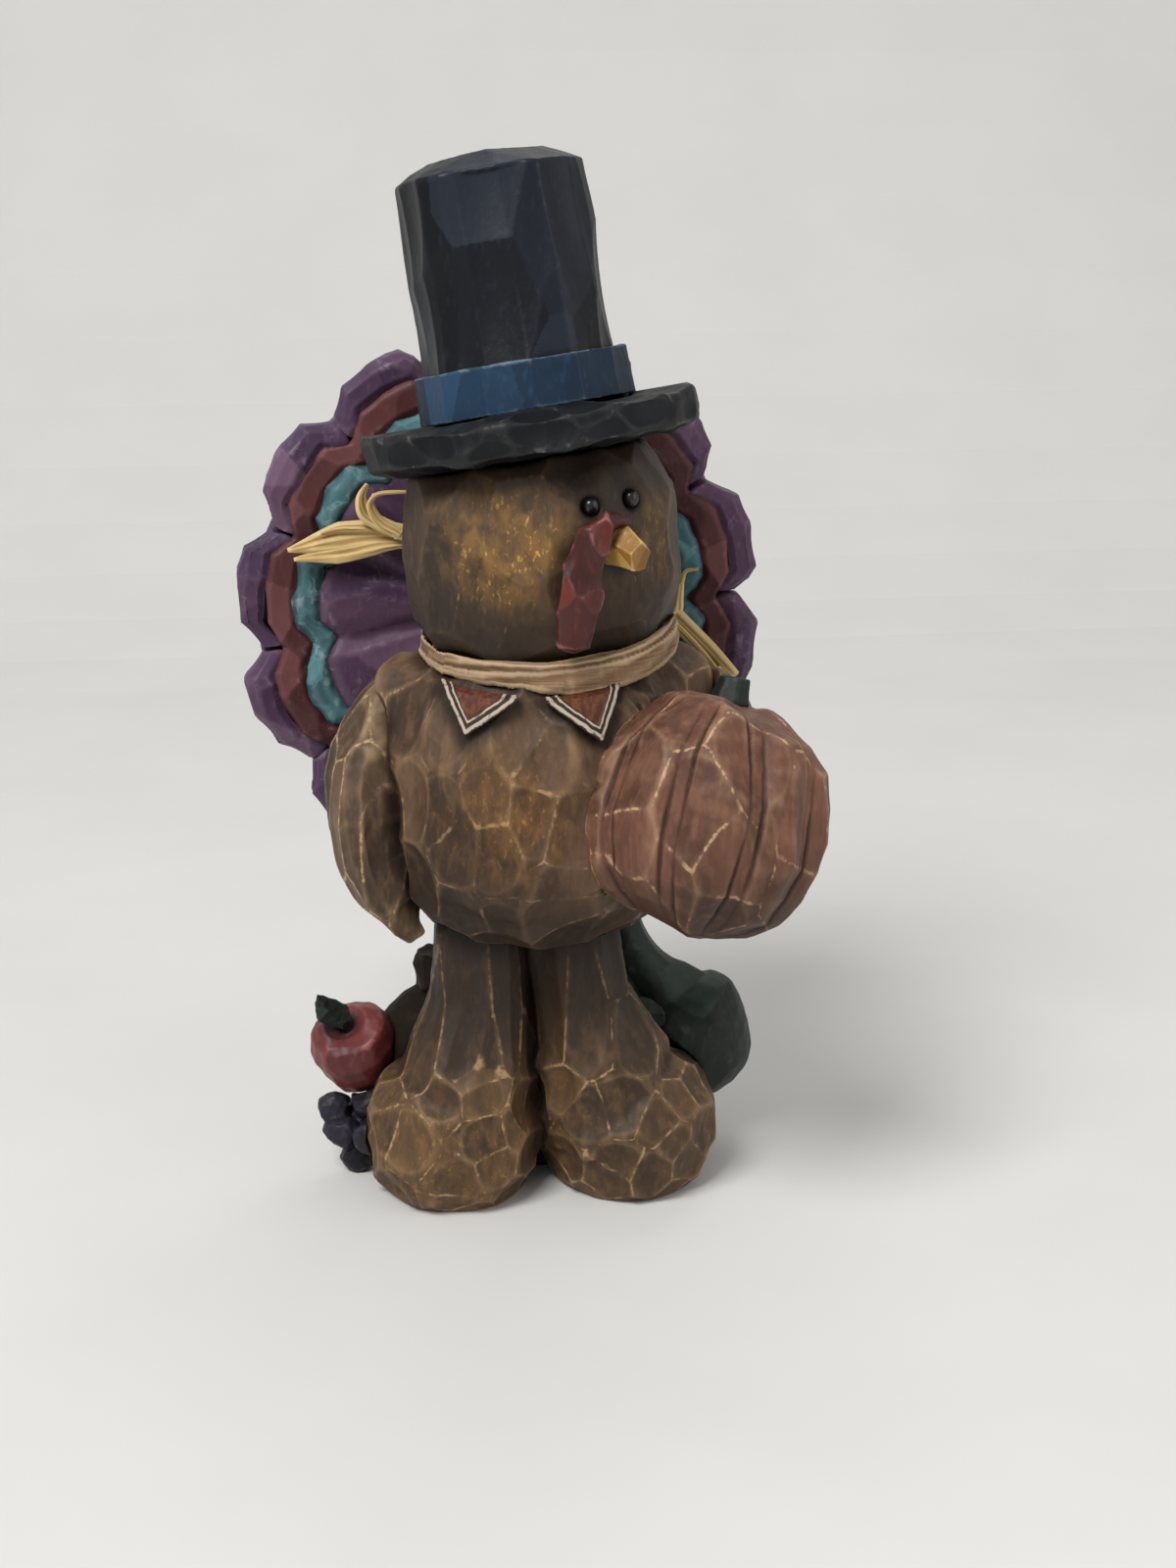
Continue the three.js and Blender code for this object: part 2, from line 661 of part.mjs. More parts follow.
function raffiaForm(grow) {
  const inner = tieRadius - RAFFIA_THICK - grow;
  const outer = tieRadius + grow;
  const half = RAFFIA_WIDTH / 2 + grow;
  const ring = turned(
    [
      [inner, -half],
      [outer, -half],
      [outer, half],
      [inner, half],
      [inner, -half],
    ],
    RAFFIA_SIDES,
  );
  ring.scale(1, tieDepthRadius / tieRadius, 1).rotateZ(rad(HEAD_TURN));
  return solidOf(ring, raffiaFrame);
}

// The knot fills the room between the back of the tie and the fan.
const tieBack = neck.y + tieReach;
const knotDeep = FAN_FRONT - tieBack - 2 * GAP;
const tieMiddle = vec(0, 0, 0).setFromMatrixPosition(raffiaFrame);
const knotPlace = vec(neck.x, tieBack + GAP + knotDeep / 2, tieMiddle.z + KNOT_TALL / 4);

const KNOT_FULLNESS = 2.4;

function knotForm(grow) {
  const egg = { wide: KNOT_WIDTH, deep: knotDeep, tall: KNOT_TALL, fullness: KNOT_FULLNESS, detail: 2 };
  return solidOf(carvedEgg(egg, grow), frameAt(knotPlace));
}

// A strand leaves the knot and follows points given from it: sideways, towards the back and up.
function strand(path, width, widthShares, across) {
  return limb(
    {
      path: path.map(([x, y, z]) => knotPlace.clone().add(vec(x, y, z))),
      widths: widthShares.map((share) => share * width),
      thicks: widthShares.map(() => STRAND_THICK),
      across,
      steps: 12,
      sides: 6,
    },
    0,
  );
}

function addRaffia() {
  addPiece("neck_tie", seat(raffiaForm(0), bodyForm, headForm), raffiaFrame, STRAW);
  addPiece("raffia_knot", seat(knotForm(0), raffiaForm, headForm, bodyForm), frameAt(knotPlace), STRAW);
  const strands = [
    ["raffia_tail_right", TAIL_RIGHT_ROUTE, TAIL_RIGHT_WIDTH, TAIL_RIGHT_WIDTH_SHARES, UPRIGHT],
    ["raffia_curl_right", CURL_RIGHT_ROUTE, CURL_RIGHT_WIDTH, CURL_RIGHT_WIDTH_SHARES, LEVEL],
    ["raffia_tail_left", TAIL_LEFT_ROUTE, TAIL_LEFT_WIDTH, TAIL_LEFT_WIDTH_SHARES, UPRIGHT],
    ["raffia_sprig_left", SPRIG_LEFT_ROUTE, SPRIG_LEFT_WIDTH, SPRIG_LEFT_WIDTH_SHARES, LEVEL],
  ];
  for (const [name, route, width, shares, across] of strands) {
    const ribbon = solidOf(strand(route, width, shares, across), new THREE.Matrix4());
    addPiece(name, seat(ribbon, knotForm, headForm, raffiaForm, bodyForm), frameAt(knotPlace), STRAW);
  }
}

// Routes of the four free ends, as places from the knot: sideways and up in shares of the tie's radius,
// and towards the back in shares of the knot's depth.
const route = (...shares) => shares.map(([x, y, z]) => [x * tieRadius, y * knotDeep, z * tieRadius]);
const TAIL_RIGHT_ROUTE = route(
  [-0.1, 0.16, 0.05],
  [-0.6, 0.2, 0.34],
  [-1.15, 0.2, 0.48],
  [-1.55, 0.2, 0.5],
  [-1.98, 0.16, 0.43],
);
const CURL_RIGHT_ROUTE = route(
  [-0.08, -0.12, 0.12],
  [-0.7, -0.12, 0.36],
  [-1.22, -0.12, 0.52],
  [-1.34, -0.12, 0.8],
  [-1.2, -0.12, 0.9],
  [-1, -0.12, 0.87],
);
const TAIL_LEFT_ROUTE = route(
  [0.12, 0.16, 0],
  [0.6, 0.16, 0.1],
  [1, 0.05, -0.04],
  [1.32, -0.33, -0.28],
  [1.58, -0.65, -0.68],
);
const SPRIG_LEFT_ROUTE = route(
  [0.1, -0.12, 0.08],
  [0.6, -0.12, 0.14],
  [1.12, -0.24, 0.02],
  [1.2, -0.24, 0.22],
  [1.32, -0.2, 0.26],
);
const TAIL_RIGHT_WIDTH_SHARES = [0.5, 0.7, 1, 1, 0.45];
const CURL_RIGHT_WIDTH_SHARES = [0.5, 0.8, 1, 0.7, 0.35, 0.3];
const TAIL_LEFT_WIDTH_SHARES = [0.6, 0.8, 1, 0.9, 0.6];
const SPRIG_LEFT_WIDTH_SHARES = [0.5, 0.7, 0.8, 0.7, 0.3];
const UPRIGHT = vec(0, 0, 1); // a strand that lies on edge
const LEVEL = vec(1, 0, 0.4); // a strand that lies nearly flat

// Collar
const collarTipZ = tieFrontZ - COLLAR_TIP_DROP;

function flapForm(side) {
  const top = tieFrontZ - COLLAR_TOP_DROP;
  const notch = COLLAR_MIDDLE_X + (side * GAP) / 2;
  const outline = new THREE.Shape([
    new THREE.Vector2(notch, top),
    new THREE.Vector2(notch, top - COLLAR_NOTCH_DROP),
    new THREE.Vector2(COLLAR_MIDDLE_X + side * COLLAR_TIP_SHIFT, collarTipZ),
    new THREE.Vector2(COLLAR_MIDDLE_X + side * COLLAR_FLAP_WIDTH, top),
  ]);
  const prism = new THREE.ExtrudeGeometry(outline, { depth: BODY_DEPTH, bevelEnabled: false });
  return solidOf(prism, frameAt(vec(0, 0, 0), Math.PI / 2));
}

function addCollar() {
  const shell = bodyForm(GAP + COLLAR_THICK).subtract(bodyForm(GAP));
  const chest = frameAt(vec(COLLAR_MIDDLE_X, -BODY_DEPTH / 2, collarTipZ));
  const tieFootFrame = raised(raffiaFrame, -RAFFIA_WIDTH / 2 - GAP);
  const lapel = (side) => flapForm(side).intersect(shell).subtract(blockAbove(tieFootFrame));
  addPiece("collar_right", lapel(-1), chest, RUST);
  addPiece("collar_left", seat(lapel(1), pumpkinForm), chest, RUST);
}

// Pumpkin
const holdRadius = (BODY_WIDTH + PUMPKIN_WIDTH) / 2 - PUMPKIN_SINK;
const pumpkinPlace = vec(
  Math.sin(rad(PUMPKIN_SIDE)) * holdRadius,
  -Math.cos(rad(PUMPKIN_SIDE)) * holdRadius,
  PUMPKIN_LIFT,
);
const pumpkinFrame = frameAt(pumpkinPlace, rad(PUMPKIN_TIP), rad(PUMPKIN_LEAN));
const RIB_COLUMNS = 4;
const PUMPKIN_ROWS = 12;
const PUMPKIN_FULLNESS = 2.3;
const DIMPLE_REACH_SHARE = 0.34; // how far the hollow runs out, of the pumpkin's radius

function pumpkinForm(grow) {
  const columns = PUMPKIN_RIBS * RIB_COLUMNS;
  const ball = weld(new THREE.SphereGeometry(1, columns, PUMPKIN_ROWS).rotateX(Math.PI / 2));
  const at = ball.getAttribute("position");
  for (let i = 0; i < at.count; i++) {
    const v = vec(0, 0, 0).fromBufferAttribute(at, i);
    const flat = Math.hypot(v.x, v.y);
    const round = (flat ** PUMPKIN_FULLNESS + Math.abs(v.z) ** PUMPKIN_FULLNESS) ** (-1 / PUMPKIN_FULLNESS);
    const rib = Math.abs(Math.sin((PUMPKIN_RIBS * Math.atan2(v.y, v.x)) / 2));
    const radius = PUMPKIN_WIDTH / 2 - PUMPKIN_GROOVE * (1 - rib) + grow;
    const dimple = PUMPKIN_DIMPLE * Math.max(0, 1 - flat / DIMPLE_REACH_SHARE);
    at.setXYZ(
      i,
      v.x * round * radius,
      v.y * round * radius,
      v.z * round * (PUMPKIN_TALL / 2 + grow) - Math.sign(v.z) * dimple,
    );
  }
  return solidOf(ball, pumpkinFrame);
}

const STEM_TOP_SHARE = 0.72;
const STEM_SIDES = 7;
const stemFrame = raised(pumpkinFrame, PUMPKIN_TALL / 2 - PUMPKIN_DIMPLE);

function stemForm() {
  const radius = STEM_WIDTH / 2;
  return solidOf(
    turned(
      [
        [0, GAP],
        [radius, GAP],
        [radius * STEM_TOP_SHARE, GAP + STEM_LENGTH],
        [0, GAP + STEM_LENGTH],
      ],
      STEM_SIDES,
    ),
    stemFrame,
  );
}

function addPumpkin() {
  addPiece("pumpkin", seat(pumpkinForm(0), bodyForm), pumpkinFrame, PUMPKIN);
  addPiece("pumpkin_stem", seat(stemForm(), pumpkinForm, bodyForm), stemFrame, GREEN);
}

// Wings. Each runs through stations: the right one hangs, the left one reaches round the pumpkin.
const WING_SIDES = 12;
const WING_STEPS = 12;
const WING_RIGHT_ANGLES = [-96, -92, -84, -79, -74]; // degrees round the body
const WING_RIGHT_DROP_SHARES = [0, 0.26, 0.52, 0.78, 1];
const WING_RIGHT_PROUD_SHARES = [-0.25, 0.25, 0.33, 0.36, 0.75]; // of its thickness
const WING_RIGHT_WIDTH_SHARES = [0.62, 0.95, 1, 0.66, 0.22];
const WING_RIGHT_THICK_SHARES = [0.6, 0.95, 1, 0.74, 0.34];
const WING_LEFT_ROOT_ANGLES = [104, 96]; // degrees round the body
const WING_LEFT_HOLD_ANGLES = [146, 122, 100]; // degrees round the pumpkin
const WING_LEFT_WIDTH_SHARES = [0.8, 1, 1, 0.85, 0.35];
const WING_LEFT_THICK_SHARES = [0.8, 1, 1, 0.85, 0.5];

const wingRightForm = () => {
  const hang = {
    path: WING_RIGHT_ANGLES.map((angle, i) =>
      besideBody(
        angle,
        WING_RIGHT_TOP_Z - WING_RIGHT_DROP_SHARES[i] * WING_RIGHT_HANG,
        WING_RIGHT_PROUD_SHARES[i] * WING_RIGHT_THICK,
      ),
    ),
    widths: WING_RIGHT_WIDTH_SHARES.map((share) => share * WING_RIGHT_WIDTH),
    thicks: WING_RIGHT_THICK_SHARES.map((share) => share * WING_RIGHT_THICK),
    across: vec(0, 1, 0),
    steps: WING_STEPS,
    sides: WING_SIDES,
  };
  return solidOf(limb(hang, 0), new THREE.Matrix4());
};

const wingLeftForm = () => {
  const reach = (PUMPKIN_WIDTH - WING_LEFT_THICK) / 2 + WING_LEFT_PROUD;
  const root = WING_LEFT_ROOT_ANGLES.map((angle, i) =>
    besideBody(angle, WING_LEFT_ROOT_Z, (i * WING_LEFT_THICK) / 2),
  );
  const hold = WING_LEFT_HOLD_ANGLES.map((angle, i) => {
    const [across, ahead] = [Math.sin(rad(angle)) * reach, -Math.cos(rad(angle)) * reach];
    return pumpkinPlace.clone().add(vec(across, ahead, (-i * WING_LEFT_THICK) / 4));
  });
  const arm = {
    path: [...root, ...hold],
    widths: WING_LEFT_WIDTH_SHARES.map((share) => share * WING_LEFT_WIDTH),
    thicks: WING_LEFT_THICK_SHARES.map((share) => share * WING_LEFT_THICK),
    across: vec(0, 0, 1),
    steps: WING_STEPS,
    sides: WING_SIDES,
  };
  return solidOf(limb(arm, 0), new THREE.Matrix4());
};

function addWings() {
  const rightFrame = frameAt(besideBody(-90, WING_RIGHT_TOP_Z, 0));
  const leftFrame = frameAt(besideBody(90, WING_LEFT_ROOT_Z, 0));
  addPiece("wing_right", seat(wingRightForm(), bodyForm, rightLegForm), rightFrame, BROWN);
  addPiece("wing_left", seat(wingLeftForm(), bodyForm, pumpkinForm), leftFrame, BROWN);
}

// Tail fan, in its own frame: +Z faces the front and the lobes run anticlockwise
const fanFrame = frameAt(vec(FAN_X, FAN_FRONT, FAN_Z), Math.PI / 2);
const HIDDEN_LOBE_SHARE = 0.91; // the four feathers behind the hat are carved narrower
const HIDDEN_LOBES = [4, 5, 6, 7];
const LOBE_PHASES = [0, 0.2, 0.5, 0.77];
const LOBE_SWELL_SHARES = [0, 0.94, 1, 0.9]; // how full the outline is at each phase

const fanTallShare = FAN_TALL_RADIUS / FAN_RADIUS;

const lobeAngle = (lobe) => FAN_LOBE_ANGLE * (HIDDEN_LOBES.includes(lobe) ? HIDDEN_LOBE_SHARE : 1);

function lobeColumns(first, count, closeSides) {
  const columns = [];
  let start = FAN_START;
  for (let lobe = 0; lobe < first + count; lobe++) {
    LOBE_PHASES.forEach((phase, i) => {
      if (lobe < first) return;
      columns.push({ angle: rad(start + phase * lobeAngle(lobe)), swell: LOBE_SWELL_SHARES[i] });
    });
    start += lobeAngle(lobe);
  }
  columns.push({ angle: rad(start), swell: 0 });
  columns[0].inset = closeSides;
  columns[columns.length - 1].inset = -closeSides;
  return columns;
}

// One ring of the fan. Each row is [radius, height, notch]: the notch is how far it dips between lobes.
function fanRing({ first = 0, count = FAN_LOBES, closeSides = 0, rows, back, backRows = rows }) {
  const columns = lobeColumns(first, count, closeSides);
  const grid = (wanted, heightOf) =>
    columns.map(({ angle, swell, inset = 0 }) =>
      wanted.map((row) => {
        const [radius, , notch] = row;
        const reach = Math.max(0, radius - notch * (1 - swell));
        const turn = angle + (reach > closeSides ? Math.asin(inset / reach) : 0);
        return vec(Math.cos(turn) * reach, Math.sin(turn) * reach * fanTallShare, heightOf(row, swell));
      }),
    );
  const front = grid(rows, ([, height, , relief = 0], swell) => height - relief * (1 - swell));
  const behind = grid(backRows, () => back);
  return solidOf(plate(front, behind), fanFrame);
}

const tipInner = FAN_RADIUS - TIP_LENGTH;
const maroonOuter = tipInner - GAP;
const maroonInner = maroonOuter - MAROON_WIDTH;
const tealOuter = maroonInner - GAP;
const tealInner = tealOuter - TEAL_WIDTH;
const coreOuter = tealInner - GAP;
const INNER_NOTCH_SHARE = 0.7; // the inner rings follow the feathers with shallower dips
const innerNotch = FAN_NOTCH * INNER_NOTCH_SHARE;

function tipForm(lobe) {
  return fanRing({
    first: lobe,
    count: 1,
    closeSides: GAP / 2,
    rows: [
      [tipInner, -BAND_BEVEL, innerNotch, BAND_BEVEL],
      [tipInner + BAND_BEVEL, 0, innerNotch, TIP_BEVEL],
      [FAN_RADIUS - TIP_BEVEL, 0, FAN_NOTCH, TIP_BEVEL],
      [FAN_RADIUS, -TIP_BEVEL, FAN_NOTCH, BAND_BEVEL],
    ],
    back: GAP - BAND_DEPTH,
  });
}

function bandForm(inner, outer) {
  return fanRing({
    rows: [
      [inner, -BAND_BEVEL, innerNotch, BAND_BEVEL],
      [inner + BAND_BEVEL, 0, innerNotch, BAND_BEVEL],
      [outer - BAND_BEVEL, 0, innerNotch, BAND_BEVEL],
      [outer, -BAND_BEVEL, innerNotch, BAND_BEVEL],
    ],
    back: GAP - BAND_DEPTH,
  });
}

const hubRadius = coreOuter - innerNotch - HUB_INSET;
const HUB_SIDES = 32;

function coreForm() {
  const face = fanRing({
    rows: [
      [0, -CORE_RELIEF, 0],
      [coreOuter / 2, -BAND_BEVEL, 0, CORE_RELIEF],
      [coreOuter - BAND_BEVEL, 0, innerNotch, CORE_RELIEF],
      [coreOuter, -BAND_BEVEL, innerNotch, CORE_RELIEF],
    ],
    back: -BAND_DEPTH - PLATE_THICK / 2,
  });
  const plateOuter = FAN_RADIUS - FAN_NOTCH;
  const backPlate = fanRing({
    rows: [
      [0, -BAND_DEPTH, 0],
      [plateOuter, -BAND_DEPTH, 0],
    ],
    back: -BAND_DEPTH - PLATE_THICK,
  });
  const hub = turned(
    [
      [0, -BAND_DEPTH - PLATE_THICK],
      [hubRadius, -BAND_DEPTH - PLATE_THICK],
      [hubRadius, -2 * CORE_RELIEF],
      [0, -2 * CORE_RELIEF],
    ],
    HUB_SIDES,
  ).scale(1, fanTallShare, 1);
  return face.add(backPlate).add(solidOf(hub, fanFrame));
}

function addFan() {
  addPiece("tail_core", coreForm(), fanFrame, PURPLE);
  addPiece("tail_teal_band", bandForm(tealInner, tealOuter), fanFrame, TEAL);
  addPiece("tail_maroon_band", bandForm(maroonInner, maroonOuter), fanFrame, MAROON);
  for (let lobe = 0; lobe < FAN_LOBES; lobe++) {
    const number = String(lobe + 1).padStart(2, "0");
    addPiece(`tail_feather_${number}`, tipForm(lobe), fanFrame, PURPLE);
  }
}

// Harvest
const PILE_FULLNESS = 2.4;

function pileForm(grow) {
  const heap = {
    wide: PILE_WIDTH,
    deep: PILE_DEPTH,
    tall: 2 * PILE_TALL,
    fullness: PILE_FULLNESS,
    toolShare: TOOL_SHARE,
    detail: 3,
  };
  return solidOf(carvedEgg(heap, grow), frameAt(vec(0, PILE_Y, 0))).subtract(blockAbove(groundFrame));
}

const gourdFrame = frameAt(vec(GOURD_X, GOURD_Y, GOURD_Z));
const GOURD_STALK_SIDES = 9;
const GOURD_STALK_TOP_SHARE = 0.9;

function gourdForm(grow) {
  const egg = {
    wide: GOURD_WIDTH,
    deep: GOURD_DEPTH,
    tall: GOURD_TALL,
    fullness: ROUND,
    toolShare: TOOL_SHARE,
    detail: 3,
  };
  return solidOf(carvedEgg(egg, grow), gourdFrame);
}

function gourdStalkForm() {
  const radius = GOURD_STALK_WIDTH / 2;
  const top = GOURD_STALK_TOP_Z - GOURD_Z;
  const outline = [
    [0, 0],
    [radius, 0],
    [radius, top - radius / 2],
    [radius * GOURD_STALK_TOP_SHARE, top],
    [0, top],
  ];
  return solidOf(turned(outline, GOURD_STALK_SIDES), gourdFrame);
}

const appleFrame = frameAt(vec(APPLE_X, APPLE_Y, APPLE_Z), rad(APPLE_BOW), -rad(APPLE_TIP));
const APPLE_SIDES = 14;
const APPLE_OUTLINE_SHARES = [
  [0, -0.84],
  [0.34, -0.98],
  [0.74, -0.78],
  [0.94, -0.3],
  [1, 0.25],
  [0.84, 0.76],
  [0.5, 1],
  [0.2, 0.9],
];

function appleForm(grow) {
  const outline = APPLE_OUTLINE_SHARES.map(([across, up]) => [
    (across * APPLE_WIDTH) / 2 + (across ? grow : 0),
    (up * APPLE_TALL) / 2 + Math.sign(up) * grow,
  ]);
  outline.push([0, APPLE_TALL / 2 - APPLE_DIMPLE + grow]);
  return solidOf(turned(outline, APPLE_SIDES), appleFrame);
}

// A pointed leaf, thickest along its rib, in its own XY plane with its stalk at the origin.
const LEAF_WIDTH_SHARES = [0.25, 0.8, 1, 0.7, 0.08];
const LEAF_ROW_SHARES = [-0.5, 0, 0.5];
const LEAF_EDGE_SHARE = 0.5; // how thick its edges are, of its rib

function leafForm(length, width, thick, frame) {
  const grid = (side) =>
    LEAF_WIDTH_SHARES.map((share, i) =>
      LEAF_ROW_SHARES.map((row) => {
        const half = (row === 0 ? thick : thick * LEAF_EDGE_SHARE) / 2;
        return vec((length * i) / (LEAF_WIDTH_SHARES.length - 1), row * share * width, side * half);
      }),
    );
  return solidOf(plate(grid(-1), grid(1)), frame);
}

const appleDimplePlace = vec(0, 0, APPLE_TALL / 2 - APPLE_DIMPLE + GAP);
const appleLeafFrame = appleFrame
  .clone()
  .multiply(frameAt(appleDimplePlace, Math.PI / 2, -rad(APPLE_LEAF_RISE)));

const GRAPE_PLACE_SHARES = [
  [0.1, 0, 0.42],
  [0.85, -0.3, 0.5],
  [-0.35, -0.1, 1.25],
  [0.45, -0.55, 1.2],
  [0.3, 0.45, 1.3],
  [-0.5, 0.3, 1.75],
  [0.4, -0.05, 2],
  [1, 0.2, 1.3],
];

function grapesForm() {
  const size = GRAPE_WIDTH;
  const berry = { wide: size, deep: size, tall: size, fullness: ROUND, detail: 1 };
  const berries = GRAPE_PLACE_SHARES.map(([x, y, z]) =>
    solidOf(
      carvedEgg(berry, 0),
      frameAt(vec(GRAPES_X + x * GRAPE_WIDTH, GRAPES_Y + y * GRAPE_WIDTH, z * GRAPE_WIDTH)),
    ),
  );
  return berries.reduce((bunch, next) => bunch.add(next)).subtract(blockAbove(groundFrame));
}

const SQUASH_FULLNESS = 2.3;
const SQUASH_NECK_PLACE_SHARES = [0.12, 0.5, 1]; // from the middle of the bulb to the end of the neck
const SQUASH_NECK_WIDTH_SHARES = [2.1, 1.35, 1];

function squashForm(grow) {
  const bulb = {
    wide: SQUASH_WIDTH,
    deep: SQUASH_DEPTH,
    tall: SQUASH_TALL,
    fullness: SQUASH_FULLNESS,
    toolShare: TOOL_SHARE,
    detail: 3,
  };
  const heart = vec(SQUASH_X, SQUASH_Y, SQUASH_Z);
  const top = vec(SQUASH_NECK_X, SQUASH_Y, SQUASH_NECK_TOP_Z);
  const neckWidths = SQUASH_NECK_WIDTH_SHARES.map((share) => share * SQUASH_NECK_WIDTH);
  const stalk = {
    path: SQUASH_NECK_PLACE_SHARES.map((share) => heart.clone().lerp(top, share)),
    widths: neckWidths,
    thicks: neckWidths,
    across: vec(1, 0, 0),
    steps: 6,
    sides: 9,
  };
  const bulbSolid = solidOf(carvedEgg(bulb, grow), frameAt(heart));
  return bulbSolid.add(solidOf(limb(stalk, grow), new THREE.Matrix4()));
}

const squashLeafFrame = frameAt(
  vec(SQUASH_LEAF_X, SQUASH_LEAF_Y, SQUASH_LEAF_Z),
  Math.PI / 2,
  rad(SQUASH_LEAF_DROOP),
);

function addHarvest() {
  const pile = seat(pileForm(0), rightLegForm, leftLegForm, gourdForm);
  addPiece("harvest_pile", pile, frameAt(vec(0, PILE_Y, 0)), HUSK);
  addPiece("gourd", seat(gourdForm(0), rightLegForm, leftLegForm), gourdFrame, OLIVE);
  addPiece("gourd_stalk", seat(gourdStalkForm(), gourdForm, rightLegForm), gourdFrame, HUSK);
  const apple = seat(appleForm(0), rightLegForm, gourdForm);
  addPiece("apple", apple, appleFrame, APPLE_RED);
  const appleLeaf = leafForm(APPLE_LEAF_LENGTH, APPLE_LEAF_WIDTH, APPLE_LEAF_THICK, appleLeafFrame);
  addPiece("apple_leaf", seat(appleLeaf, appleForm), appleLeafFrame, GREEN);
  const grapes = seat(grapesForm(), rightLegForm, pileForm, gourdForm, appleForm);
  addPiece("grapes", grapes, frameAt(vec(GRAPES_X, GRAPES_Y, 0)), GRAPE);
  const squash = seat(squashForm(0), leftLegForm, bodyForm, pileForm);
  addPiece("squash", squash, frameAt(vec(SQUASH_X, SQUASH_Y, SQUASH_Z)), GREEN);
  const squashLeaf = leafForm(SQUASH_LEAF_LENGTH, SQUASH_LEAF_WIDTH, SQUASH_LEAF_THICK, squashLeafFrame);
  addPiece("squash_leaf", seat(squashLeaf, squashForm, leftLegForm), squashLeafFrame, GREEN);
}

addBody();
addLeg("leg_right", -1);
addLeg("leg_left", 1);
addHead();
addHat();
addRaffia();
addCollar();
addPumpkin();
addWings();
addFan();
addHarvest();

export default figure;
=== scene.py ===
# %% [markdown]
# # A carved turkey with a tall hat
#
# The real object is a small cast figure that looks as if it was whittled with a gouge, painted,
# washed with dark brown and dry-brushed with gold. A CAD model already fixes the size and place
# of each piece. Here every piece gets a finer skin, its own tool marks and its own paint.

# %% The fixed frame
import math

import bpy
import numpy as np
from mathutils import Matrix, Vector
from mathutils.bvhtree import BVHTree


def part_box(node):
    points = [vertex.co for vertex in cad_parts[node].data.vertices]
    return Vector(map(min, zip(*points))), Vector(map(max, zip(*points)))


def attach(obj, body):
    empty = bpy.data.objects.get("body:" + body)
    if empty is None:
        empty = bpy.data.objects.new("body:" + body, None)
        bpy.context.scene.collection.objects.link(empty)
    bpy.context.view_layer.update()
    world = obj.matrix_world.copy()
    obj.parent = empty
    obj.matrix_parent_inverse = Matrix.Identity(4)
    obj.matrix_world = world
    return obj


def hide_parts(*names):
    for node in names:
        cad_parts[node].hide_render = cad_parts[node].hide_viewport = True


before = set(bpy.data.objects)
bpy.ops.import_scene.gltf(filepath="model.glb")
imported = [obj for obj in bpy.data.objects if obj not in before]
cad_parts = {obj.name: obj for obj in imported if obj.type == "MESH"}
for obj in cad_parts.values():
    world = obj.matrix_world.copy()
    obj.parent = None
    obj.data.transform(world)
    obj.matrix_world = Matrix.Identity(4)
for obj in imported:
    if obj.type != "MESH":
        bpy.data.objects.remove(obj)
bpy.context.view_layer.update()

MM = 0.001

# %% [markdown]
# ## Camera
# The camera stands half a metre away, a little higher than the hat, and looks slightly down.
# It could be aimed by eye, but its place was worked out from how sizes shrink towards the feet.

# %% Camera
CAMERA_PLACE = Vector((-52.92, -467.63, 221.8)) * MM
CAMERA_TILT = 74
CAMERA_TURN = -8
SENSOR_LONG_SIDE = 36
LENS = 56.25

bpy.ops.object.camera_add(location=CAMERA_PLACE)
camera = bpy.context.object
camera.rotation_euler = (math.radians(CAMERA_TILT), 0, math.radians(CAMERA_TURN))
camera.data.sensor_width = SENSOR_LONG_SIDE
camera.data.lens = LENS
bpy.context.scene.camera = camera
bpy.context.scene.view_settings.view_transform = "Standard"
print("Camera lens:", camera.data.lens)

# %% [markdown]
# ## Floor
# A separate wall would leave a line where it meets the floor, so a plane is bent up behind the
# figure in one soft sweep, and floor and backdrop are one surface.

# %% Floor
FLOOR_SIZE = 2.4
SWEEP_BACK = 0.9
SWEEP_RISE = 1.5
SWEEP_ROUND = 0.45
SWEEP_STEPS = 16


def put_down():
    """Deselects everything, so that an operator acts only on what is picked next."""
    bpy.ops.object.select_all(action="DESELECT")


def pick(piece):
    """Selects one piece alone and makes it active."""
    put_down()
    piece.select_set(True)
    bpy.context.view_layer.objects.active = piece


def shape(piece, kind, **settings):
    """Adds one modifier to a piece and applies it at once."""
    pick(piece)
    step = piece.modifiers.new(kind.title(), kind)
    for key, value in settings.items():
        setattr(step, key, value)
    bpy.ops.object.modifier_apply(modifier=step.name)


put_down()
bpy.ops.mesh.primitive_plane_add(size=FLOOR_SIZE, location=(0, SWEEP_BACK - FLOOR_SIZE / 2, 0))
floor = bpy.context.object
floor.name = "floor"
bpy.ops.object.transform_apply(location=True)
bpy.ops.object.mode_set(mode="EDIT")
bpy.ops.mesh.select_mode(type="EDGE")
bpy.ops.mesh.select_all(action="DESELECT")
bpy.ops.object.mode_set(mode="OBJECT")
for edge in floor.data.edges:
    edge.select = all(floor.data.vertices[i].co.y > SWEEP_BACK / 2 for i in edge.vertices)
bpy.ops.object.mode_set(mode="EDIT")
bpy.ops.mesh.extrude_region_move(TRANSFORM_OT_translate={"value": (0, 0, SWEEP_RISE)})
bpy.ops.object.mode_set(mode="OBJECT")
shape(floor, "BEVEL", width=SWEEP_ROUND, segments=SWEEP_STEPS, limit_method="ANGLE")
print("Floor faces:", len(floor.data.polygons))

# %% [markdown]
# ## Light
# The light is soft and plain, so that carving shows and no colour shifts: a strong lamp above
# the left, a weaker one on the right, one behind and an even world. A sun lamp would be
# simpler, but its hard shadows would hide half of the marks.

